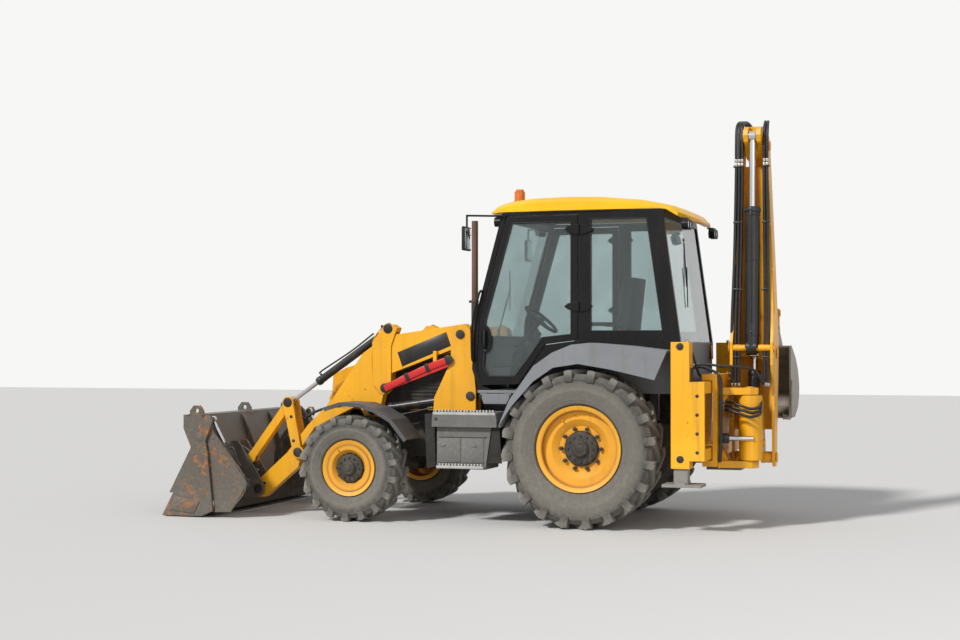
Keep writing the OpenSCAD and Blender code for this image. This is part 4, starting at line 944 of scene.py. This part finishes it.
# Loader arms, levers and strut. Box-welded steel in yellow enamel with weld beads
# along the joints, capped pins, blank black panels and a red strut that locks them.
weld_bead = finish("weld_bead", (0.80, 0.40, 0.01), 0.5, 0.45, 0.5, bump=0.9)
big_cap = turned(46, 6, [(7, 6), (12, 4)], 28, 2.0)
small_cap = turned(32, 5, [(6, 5)], 24, 1.5)
arm_parts = []
lever_parts = []
for side in (-1, 1):
    out = side * left
    for pattern, x, z, depth in ((big_cap, 1960, 1770, 624), (big_cap, 2120, 1000, 610),
                                 (big_cap, 3283, 234, 668)):
        arm_parts.append(put(pattern, at(x, side * depth, z), out))
        arm_parts.append(put(bolt_pattern, at(x + 58, side * (depth - 4), z + 20), out, 0.2)
                         if x < 2500 else put(bolt_pattern, at(x - 40, side * 610, z + 50), out,
                                              0.2))
    lever_parts.append(put(big_cap, at(2880, side * 638, 590), out))
    lever_parts.append(put(big_cap, at(2987, side * 636, 1066), out))
    lever_parts.append(put(bolt_pattern, at(2925, side * 638, 700), out))
    lever_parts.append(put(bolt_pattern, at(2950, side * 638, 930), out))
settle(arm_parts, "arm_pin_caps", barrel_black, "loader_arms")
settle(lever_parts, "lever_pin_caps", barrel_black, "bell_cranks")
knee_weld = [(1875, 1772), (1920, 1806), (1990, 1806), (2116, 1638), (2106, 1242), (2000, 1154),
             (1931, 1231)]
beads = []
for side in (-1, 1):
    beads.append(swept(smooth_path([at(x, side * 611, z) for x, z in knee_weld], 8), 5))
    beads.append(swept([at(2640 + 57 * math.cos(a / 12 * math.tau), side * 509,
                           930 + 57 * math.sin(a / 12 * math.tau)) for a in range(12)], 7, True))
settle(beads, "arm_welds", weld_bead, "loader_arms")
panel_black = finish("panel_black", (0.012, 0.012, 0.012), 0.35, 0.1, 0.1, streaks=0.1,
                     specular=0.4)
for side, word in ((1, "left"), (-1, "right")):
    y0, y1 = sorted((side * 609.5, side * 612))
    panel = slab([(1868, 1546), (1382, 1738), (1336, 1608), (1820, 1414)], "y", y0, y1, 0.6)
    settle(panel, f"arm_panel_{word}", panel_black, "loader_arms")
strut_red = finish("strut_red", (0.62, 0.012, 0.008), 0.36, 0.1, 0.2, streaks=0.1)
dress(strut_red, "safety_strut")
strut_parts = []
strut_bands = []
lengths = [((1975, 1205), (1760, 1312)), ((1740, 1322), (1560, 1400)),
           ((1540, 1408), (1370, 1470))]
for side in (-1, 1):
    depth = 664
    for (xa, za), (xb, zb) in lengths:
        normal = Vector((za - zb, xb - xa)).normalized() * 31
        y0, y1 = sorted((side * (depth - 3), side * (depth + 9)))
        strut_parts.append(slab([(xa + normal.x, za + normal.y), (xb + normal.x, zb + normal.y),
                                 (xb - normal.x, zb - normal.y), (xa - normal.x, za - normal.y)],
                                 "y", y0, y1, 4))
    for (xa, za), (xb, zb) in (((1768, 1308), (1732, 1326)), ((1568, 1397), (1532, 1411))):
        normal = Vector((za - zb, xb - xa)).normalized() * 38
        y0, y1 = sorted((side * (depth - 6), side * (depth + 13)))
        strut_bands.append(slab([(xa + normal.x, za + normal.y), (xb + normal.x, zb + normal.y),
                                 (xb - normal.x, zb - normal.y), (xa - normal.x, za - normal.y)],
                                 "y", y0, y1, 3))
    strut_bands.append(put(big_cap, at(1975, side * 660, 1212), side * left))
    strut_bands.append(put(big_cap, at(1345, side * 660, 1478), side * left))
settle(strut_parts, "strut_lengths", strut_red, "loader_arms")
settle(strut_bands, "strut_bands", barrel_black, "loader_arms")

# Bucket, jaw and links. Bare worn plate, grey-brown with clay and orange rust, with a
# bolted cutting edge, welded wear strips and the seams of its end plates.
bucket_steel = finish("bucket_steel", (0.10, 0.092, 0.08), 0.42, 0.36, 0.70, metallic=0.3,
                      splash=1.4, bump=0.6,
                      dust_colour=(0.30, 0.26, 0.20, 1), chip_colour=(0.30, 0.12, 0.035, 1),
                      streaks=0.5)
dress(bucket_steel, "loader_bucket", "clam_jaw")
dig_steel = finish("dig_steel", (0.34, 0.30, 0.25), 0.5, 0.4, 0.5, metallic=0.1, splash=1.4,
                   bump=0.6,
                   dust_colour=(0.42, 0.37, 0.30, 1), chip_colour=(0.16, 0.07, 0.03, 1),
                   streaks=0.5)
dress(dig_steel, "digger_bucket")
link_black = finish("link_black", (0.03, 0.028, 0.026), 0.5, 0.5, 0.5)
dress(yellow_arm, "bucket_links")
link_caps = []
for side in (-1, 1):
    for x, z in ((2987, 1066), (3393, 526)):
        link_caps.append(put(small_cap, at(x, side * 588 if x > 3000 else side * 606, z),
                             side * left))
settle(link_caps, "link_pin_ends", link_black, "bucket_links")
edge_bolt = turned(20, 4, [(6, 7)], 20, 2.0)
jaw_parts = [put(edge_bolt, at(3900, y, 22), Vector((0.1, 0, 1))) for y in range(-1080, 1100, 180)]
jaw_parts.append(slab([(3950, 2), (4034, 8), (4034, 16), (3950, 30)], "y", -1150, 1150, 2))
for side in (-1, 1):
    y0, y1 = sorted((side * 1175, side * 1183))
    jaw_parts.append(slab([(3700, 30), (3960, 60), (3900, 190), (3640, 150)], "y", y0, y1, 4))
    jaw_parts.append(put(big_cap, at(3645, side * 1172, 749), side * left))
settle(jaw_parts, "jaw_edge_and_wear_plates", bucket_steel, "clam_jaw")
bucket_parts = []
for side in (-1, 1):
    bucket_parts.append(swept(smooth_path([at(x, side * 1146, z) for x, z in (
        (3800, 950), (3660, 952), (3388, 638), (3170, 322), (3336, 58))], 10), 6))
    bucket_parts.append(put(small_cap, at(3222, side * 1135, 322), side * left))
    for x, z in ((3300, 300), (3400, 480), (3520, 740)):
        bucket_parts.append(put(bolt_pattern, at(x, side * 1144, z), side * left, 0.3))
for y in (-900, -300, 300, 900):
    bucket_parts.append(swept(smooth_path([at(x, y - 12, z) for x, z in (
        (3636, 938), (3552, 664), (3484, 372))], 8), 6))
settle(bucket_parts, "bucket_welds_and_bolts", bucket_steel, "loader_bucket")

# Rams. Black barrels with welded end rings, screwed glands and steel oil pipes, and
# hard-chromed rods with a bright wiper ring.
dress(barrel_black, "lift_ram_barrels", "crowd_ram_barrels", "clam_ram_barrels", "boom_ram_barrel",
      "dipper_ram_barrel", "bucket_ram_barrel")
rod_chrome = finish("rod_chrome", (0.62, 0.62, 0.63), 0.14, 0.06, 0.0, metallic=1.0, bump=0.02,
                    streaks=0.05)
dress(rod_chrome, "lift_ram_rods", "crowd_ram_rods", "clam_ram_rods", "boom_ram_rod",
      "dipper_ram_rod",
      "bucket_ram_rod")


def ram_fittings(base, rod_end, length, radius, port_side):
    """Gland, end rings, two ports and a pipe of one ram, in mm; port_side points outwards."""
    along = (rod_end - base).normalized()
    port_side = (port_side - along * port_side.dot(along)).normalized()
    gland = turned(radius * 1.16, 34, [(radius * 0.14, 8)], 32, 2.0)
    ring = turned(radius * 1.07, 12, [(radius * 0.05, 2)], 32, 1.5)
    port = turned(13, 16, [(3, 10)], 6, 1.0)
    fitted = [put(gland, base + along * (length - 44) / 1000, along)]
    for place in (radius * 1.6, length * 0.62, length - 76):
        fitted.append(put(ring, base + along * place / 1000, along))
    low = base + along * radius * 2.1 / 1000
    high = base + along * (length - 66) / 1000
    for foot in (low, high):
        fitted.append(put(port, foot + port_side * (radius - 3) / 1000, port_side))
    lift = port_side * (radius + 18) / 1000
    fitted.append(swept(smooth_path([high + lift, high + lift * 1.25 - along * 0.03,
                                     base + along * (length * 0.5) / 1000 + lift * 0.95,
                                     low + lift * 1.1 + along * 0.09]), 8))
    drop(gland, ring, port)
    return fitted


for name, base, end, length, radius, body in (
        ("lift_ram", (1135, 1145), (2120, 1000), 840, 44, "lift_ram_barrels"),
        ("crowd_ram", (1960, 1770), (2987, 1066), 900, 36, "crowd_ram_barrels")):
    fitted = []
    for side in (-1, 1):
        fitted += ram_fittings(at(base[0], side * 560, base[1]), at(end[0], side * 560, end[1]),
                               length, radius,
                               Vector((0.15, 0, 1)) if name == "crowd_ram" else Vector((0, 0, -1)))
    settle(fitted, f"{name}_fittings", barrel_black, body)
fitted = []
for side in (-1, 1):
    fitted += ram_fittings(at(3222, side * 1090, 322), at(3546, side * 1090, 913), 420, 30,
                           Vector((-1, 0, 0.4)))
settle(fitted, "clam_ram_fittings", barrel_black, "clam_ram_barrels")
slew_x = -1430  # the line that the backhoe slews on, mm from the rear axle
for name, base, end, length, radius, toward in (
        ("boom_ram", (385, 750), (280, 1540), 640, 50, Vector((0, 1, 0))),
        ("dipper_ram", (455, 1590), (375, 3475), 1250, 64, Vector((0, 1, 0.1))),
        ("bucket_ram", (-250, 3150), (-381, 1913), 640, 40, Vector((0, -1, 0)))):
    fitted = ram_fittings(at(slew_x, *base), at(slew_x, *end), length, radius, toward)
    settle(fitted, f"{name}_fittings", barrel_black, f"{name}_barrel")

# Rear frame, stabilisers and carriage. Yellow rails, columns and castings rubbed to
# orange primer, with bolted wear pads, oil pipes to the legs and a slew ram.
yellow_rear = finish("yellow_rear", (0.90, 0.42, 0.006), 0.42, 0.14, 0.42, splash=0.8,
                     chip_colour=(0.30, 0.07, 0.015, 1), streaks=0.55, specular=0.4)
dress(yellow_rear, "rear_frame", "sideshift_carriage", "kingpost")
leg_grey = finish("leg_grey", (0.20, 0.195, 0.185), 0.5, 0.5, 0.4)
dress(leg_grey, "stabiliser_leg_left", "stabiliser_leg_right")
frame_bolts = []
for side, word in ((-1, "right"), (1, "left")):
    out = side * left
    for x, z in ((-930, 1600), (-930, 640)):
        frame_bolts.append(put(small_cap, at(x, side * 1173, z), out))
    for z in (700, 860, 1020, 1180):
        frame_bolts.append(put(bolt_pattern, at(-1076, side * 1174, z), out, 0.3 * z))
    for z in (760, 1000, 1240, 1480):
        frame_bolts.append(put(bolt_pattern, at(-850, side * 1100, z), ahead, 0.2))
    y0, y1 = sorted((side * 1060, side * 1130))
    frame_bolts.append(block((-1022, y0, 1300), (-1008, y1, 1420), 3))
    pad_bolts = [put(big_cap, at(-930, side * 1060, 444), up)]
    for x in (-1060, -820):
        for y in (970, 1140):
            pad_bolts.append(put(bolt_pattern, at(x, side * y, 424), up))
    settle(pad_bolts, f"stabiliser_foot_bolts_{word}", leg_grey, f"stabiliser_{word}")
for y in range(-1000, 1001, 250):
    for z in (652, 1226):
        frame_bolts.append(put(bolt_pattern, at(-1052, y, z + 26), ahead))
settle(frame_bolts, "rear_frame_bolts", barrel_black, "machine")
carriage_parts = []
for y in (330, 770):
    for z in (586, 1332):
        carriage_parts.append(put(big_cap, at(-1190, y, z), -ahead))
for y in (300, 800):
    for z in (700, 820, 1100, 1220):
        carriage_parts.append(put(bolt_pattern, at(-1190, y, z), -ahead, 0.3))
carriage_parts.append(put(big_cap, at(slew_x, 550, 1240), up))
carriage_parts.append(put(big_cap, at(slew_x, 550, 541), -up))
for z in (600, 1178):
    turn = 1 if z < 900 else -1
    ribs = slab([(-1184, z), (-1184, z + turn * 130), (-1250, z)], "y", 470, 482, 2)
    carriage_parts += [ribs,
                       slab([(-1184, z), (-1184, z + turn * 130), (-1250, z)], "y", 618, 630, 2)]
settle(carriage_parts, "carriage_bolts_and_ribs", yellow_rear, "carriage")
slew_barrel = turned(44, 70, [(-6, 22), (18, 4)], 32, 2.5)
slew_eye = turned(34, 60, [(8, 6)], 28, 2.0)
slew_ram = [put(slew_barrel, at(-1195, 690, 800), Vector((-0.985, -0.17, 0))),
            put(slew_eye, at(-1196, 690, 770), up), block((-1206, 640, 745), (-1180, 740, 768), 4),
            block((-1206, 640, 832), (-1180, 740, 856), 4)]
settle(slew_ram, "slew_ram_barrel", barrel_black, "carriage")
drop(slew_barrel, slew_eye)
rod_bar = turned(21, 290, [(3, 3)], 28, 1.0)
settle(put(rod_bar, at(-1185, 692, 800), Vector((-0.985, -0.17, 0))), "slew_ram_rod", rod_chrome,
       "carriage")
drop(rod_bar)

# Oil hoses and pipes. Steel-braided rubber hose in crimped ends, tied in rows to what
# carries them; those that cross a joint have a loop that takes up its movement.
hose_rubber = finish("hose_rubber", (0.010, 0.010, 0.010), 0.42, 0.08, 0.0, splash=0.9,
                     streaks=0.0,
                     specular=0.4)
braid = hose_rubber.node_tree.nodes.new("ShaderNodeTexNoise")
braid.inputs["Scale"].default_value = 240
braid_coords = hose_rubber.node_tree.nodes.new("ShaderNodeTexCoord")
hose_rubber.node_tree.links.new(braid_coords.outputs["Object"], braid.inputs["Vector"])
hose_rubber.node_tree.links.new(braid.outputs["Fac"],
                                hose_rubber.node_tree.nodes["raised"].inputs["Height"])
hose_rubber.node_tree.nodes["raised"].inputs["Distance"].default_value = 0.0015
crimp_steel = finish("crimp_steel", (0.45, 0.43, 0.38), 0.35, 0.3, 0.1, metallic=0.9, streaks=0.0)
crimp_pattern = turned(16, 30, [(-3, 8), (5, 8)], 20, 1.5)


def hose_run(name, knots, body, radius=11, cross=None):
    """One hose through its knots, riding on a body, with a crimped end at both of its ends."""
    path = smooth_path(knots)
    hose = settle(swept(path, radius), name, hose_rubber, None if cross else body)
    ends = [put(crimp_pattern, path[0], path[1] - path[0]),
            put(crimp_pattern, path[-1], path[-2] - path[-1])]
    if cross:
        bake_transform(hose)
        settle(ends[0], f"{name}_crimp", crimp_steel, body)
        settle(ends[1], f"{name}_far_crimp", crimp_steel, cross)
    else:
        settle(ends, f"{name}_crimps", crimp_steel, body)
    return hose


# boom rows: up both plates to the head, over it in a loop, and on to the dipper's ram
for bank, offsets in (("left", (97, 124, 151)), ("right", (-97, -124))):
    for i, x in enumerate(offsets):
        wide = x * 1.16
        rise = [at(slew_x + wide, 478 - 8 * i, 1250), at(slew_x + wide, 470, 1420),
                at(slew_x + wide * 1.02, 436, 1800),
                at(slew_x + x * 1.08, 384, 2400), at(slew_x + x, 358, 3100),
                at(slew_x + x, 348, 3240)]
        hose_run(f"boom_hose_{bank}_{i + 1}", rise, "boom", radius=14)
        loop = [at(slew_x + x, 350, 3246), at(slew_x + x, 350, 3400), at(slew_x + x, 316, 3556),
                at(slew_x + x * 0.94, 230, 3618), at(slew_x + x * 0.78, 110, 3622),
                at(slew_x + x * 0.6, 10, 3586),
                at(slew_x + x * 0.5, -66, 3510), at(slew_x + x * 0.5, -120, 3436)]
        hose_run(f"head_hose_{bank}_{i + 1}", loop, "boom", radius=13, cross="dipper")
clamps = []
for z, y in ((1500, 470), (2100, 414), (2700, 374), (3200, 358)):
    for x0, x1 in ((80, 168), (-142, -80)):
        squeeze = 1.16 if z < 1900 else 1.04
        clamps.append(block((slew_x + x0 * squeeze, y - 22, z),
                            (slew_x + x1 * squeeze, y + 14, z + 18), 4))
settle(clamps, "boom_hose_clamps", barrel_black, "boom")
# dipper rows: down to the bucket ram's two ports
for i, x in enumerate((44, -44)):
    run = [at(slew_x + x, -126, 3410), at(slew_x + x, -190, 3300),
           at(slew_x + x * 1.5, -232, 3180),
           at(slew_x + x * 1.5, -262, 3000), at(slew_x + x * 1.4, -300, 2720)]
    hose_run(f"dipper_hose_{i + 1}", run, "dipper", radius=9)
# three loops between the carriage and the slewing kingpost
for i in range(3):
    z = 1120 - 34 * i
    knots = [at(-1196, 640 + 30 * i, z), at(-1260, 650 + 34 * i, z - 6),
             at(-1360, 690 + 26 * i, z - 30),
             at(-1460, 690 + 26 * i, z - 60), at(-1530, 620 + 20 * i, z - 40), at(-1522, 540, z),
             at(-1500, 470, z + 20)]
    hose_run(f"slew_hose_{i + 1}", knots, "carriage", radius=12, cross="kingpost")
# pipes down the carriage and across the back, from the valves behind the cab
pipes = []
for i in range(4):
    y = 760 + 26 * i
    pipes.append(swept(smooth_path([at(-900, y - 120, 1395), at(-1010, y - 60, 1420),
                                    at(-1120, y, 1400),
                                    at(-1205, y, 1330), at(-1214, y, 1100), at(-1214, y, 760),
                                    at(-1204, y, 600)]), 9))
settle(pipes, "carriage_pipes", barrel_black, "machine")
for i in range(3):
    knots = [at(-960, 640 + 26 * i, 1440), at(-1060, 650 + 24 * i, 1446),
             at(-1200, 660 + 20 * i, 1430),
             at(-1340, 640 + 18 * i, 1424), at(-1460, 590 + 14 * i, 1400),
             at(-1530, 520, 1330 - 20 * i),
             at(-1560, 478, 1260)]
    hose_run(f"feed_hose_{i + 1}", knots, "carriage", radius=11, cross="kingpost")
for side, word in ((1, "left"), (-1, "right")):
    for i in range(2):
        knots = [at(-1030, side * (700 + 30 * i), 1330),
                 at(-1032, side * (860 + 10 * i), 1360 + 20 * i),
                 at(-1030, side * 985, 1440 + 20 * i), at(-1000, side * 1010, 1560),
                 at(-960, side * 1040, 1650 + 10 * i)]
        hose_run(f"stabiliser_hose_{word}_{i + 1}", knots, "machine", radius=9)
# loader rows: from the tower along each arm to the crowd ram, and on to the bucket
for side, word in ((1, "left"), (-1, "right")):
    def row(points, shift=0.0):
        return [at(x, side * (y + shift), z) for x, y, z in points]

    for i in range(2):
        d = 26 * i
        hose_run(f"tower_hose_{word}_{i + 1}",
                 row([(1180 + d, 500, 960), (1176 + d, 486, 1200), (1180 + d, 480, 1460),
                      (1200 + d, 484, 1640),
                      (1300 + d, 494, 1690 - d), (1420, 500, 1640 - d)]), "machine",
                      cross="loader_arms", radius=11)
        hose_run(f"arm_hose_{word}_{i + 1}",
                 row([(1420, 498, 1640 - d), (1700, 496, 1560 - d), (1880, 488, 1500 - d),
                      (2140, 488, 1420 - d),
                      (2300, 496, 1240 - d), (2520, 498, 1010 - d)]), "loader_arms", radius=11)
        hose_run(f"lift_hose_{word}_{i + 1}",
                 row([(1240 + d, 500, 1080), (1330 + d, 506, 1030), (1430 + d, 520, 1010),
                      (1500 + d, 540, 1050),
                      (1560 + d, 556, 1030)]), "machine", cross="lift_ram_barrels", radius=9)
    for i in range(3):
        d = 22 * i
        hose_run(f"bucket_hose_{word}_{i + 1}",
                 row([(2520, 490 - d, 1010), (2640, 470 - d, 1006 + 6 * i),
                      (2800, 450 - d, 960 + 6 * i),
                      (2960, 446 - d, 840 + 26 * i), (3110, 440 - d, 740 + 26 * i),
                      (3200, 436 - d, 600 + 10 * i),
                      (3216, 440 - d, 460), (3270, 450 - d, 380 - 6 * i), (3400, 470 - d, 400)]),
                 "loader_arms", radius=11, cross="loader_bucket")
drop(crimp_pattern)

# Boom, dipper and digging bucket. Welded plate with flanged edges; the pins have
# capped ends, and the bucket has forged teeth on shanks and side cutters.
yellow_boom = finish("yellow_boom", (0.88, 0.41, 0.006), 0.42, 0.12, 0.4, splash=0.6,
                     chip_colour=(0.12, 0.04, 0.015, 1), coat=0.05, streaks=0.4, specular=0.4)
dress(yellow_boom, "boom", "dipper", "tipping_lever", "tipping_link")
boom_caps = []
dipper_caps = []
bucket_caps = []
lever_caps = []
for side in (-1, 1):
    out = side * ahead
    for y, z, half in ((320, 620, 198), (280, 1540, 198), (455, 1590, 198), (220, 3400, 129)):
        boom_caps.append(put(big_cap, at(slew_x + side * half, y, z), out))
        boom_caps.append(put(bolt_pattern, at(slew_x + side * (half - 12), y - 62, z + 20), out))
    dipper_caps.append(put(small_cap, at(slew_x + side * 66, -250, 3150), out))
    dipper_caps.append(put(small_cap, at(slew_x + side * 112, -111, 2085), out))
    bucket_caps.append(put(big_cap, at(slew_x + side * 158, -120, 1750), out))
    bucket_caps.append(put(small_cap, at(slew_x + side * 158, -385, 1575), out))
    lever_caps.append(put(small_cap, at(slew_x + side * 132, -381, 1913), out))
    for z in (1900, 2300, 2700, 3100):
        inner = 190 - 75 * (z - 1700) / 1820
        boom_caps.append(swept([at(slew_x + side * (inner + 1), 340 - 10, z),
                                at(slew_x + side * (inner - 14), 340 - 10, z + 380)], 5))
settle(boom_caps, "boom_pin_caps", yellow_boom, "boom")
settle(dipper_caps, "dipper_pin_caps", yellow_boom, "dipper")
settle(lever_caps, "tipping_pin_caps", yellow_boom, "tipping_lever")
dig_parts = bucket_caps
for i in range(5):
    x = slew_x - 270 + 30 + i * 120
    dig_parts.append(slab([(-122, 935), (60, 952), (66, 962), (-122, 985)], "x", x - 26, x + 26,
                          4))
    dig_parts.append(put(small_cap, at(x - 24, -20, 966), -ahead))
    dig_parts.append(put(small_cap, at(x + 24, -20, 966), ahead))
for side in (-1, 1):
    x = slew_x + side * 270
    x0, x1 = sorted((x, x + side * 12))
    dig_parts.append(slab([(-60, 955), (-58, 1180), (-100, 1300), (-160, 1290), (-190, 1000)], "x",
                          x0, x1, 3))
    for y, z in ((-100, 1030), (-104, 1140), (-120, 1240)):
        dig_parts.append(put(edge_bolt, at(x + side * 10, y, z), side * ahead))
    dig_parts.append(swept(smooth_path([at(x - side * 6, y, z) for y, z in (
        (-150, 1606), (-420, 1500), (-480, 1460), (-620, 1350), (-682, 1190), (-592, 1030))], 8),
        6))
settle(dig_parts, "digging_teeth_and_cutters", dig_steel, "digger_bucket")
drop(edge_bolt, bolt_pattern, cap_pattern, big_cap, small_cap)
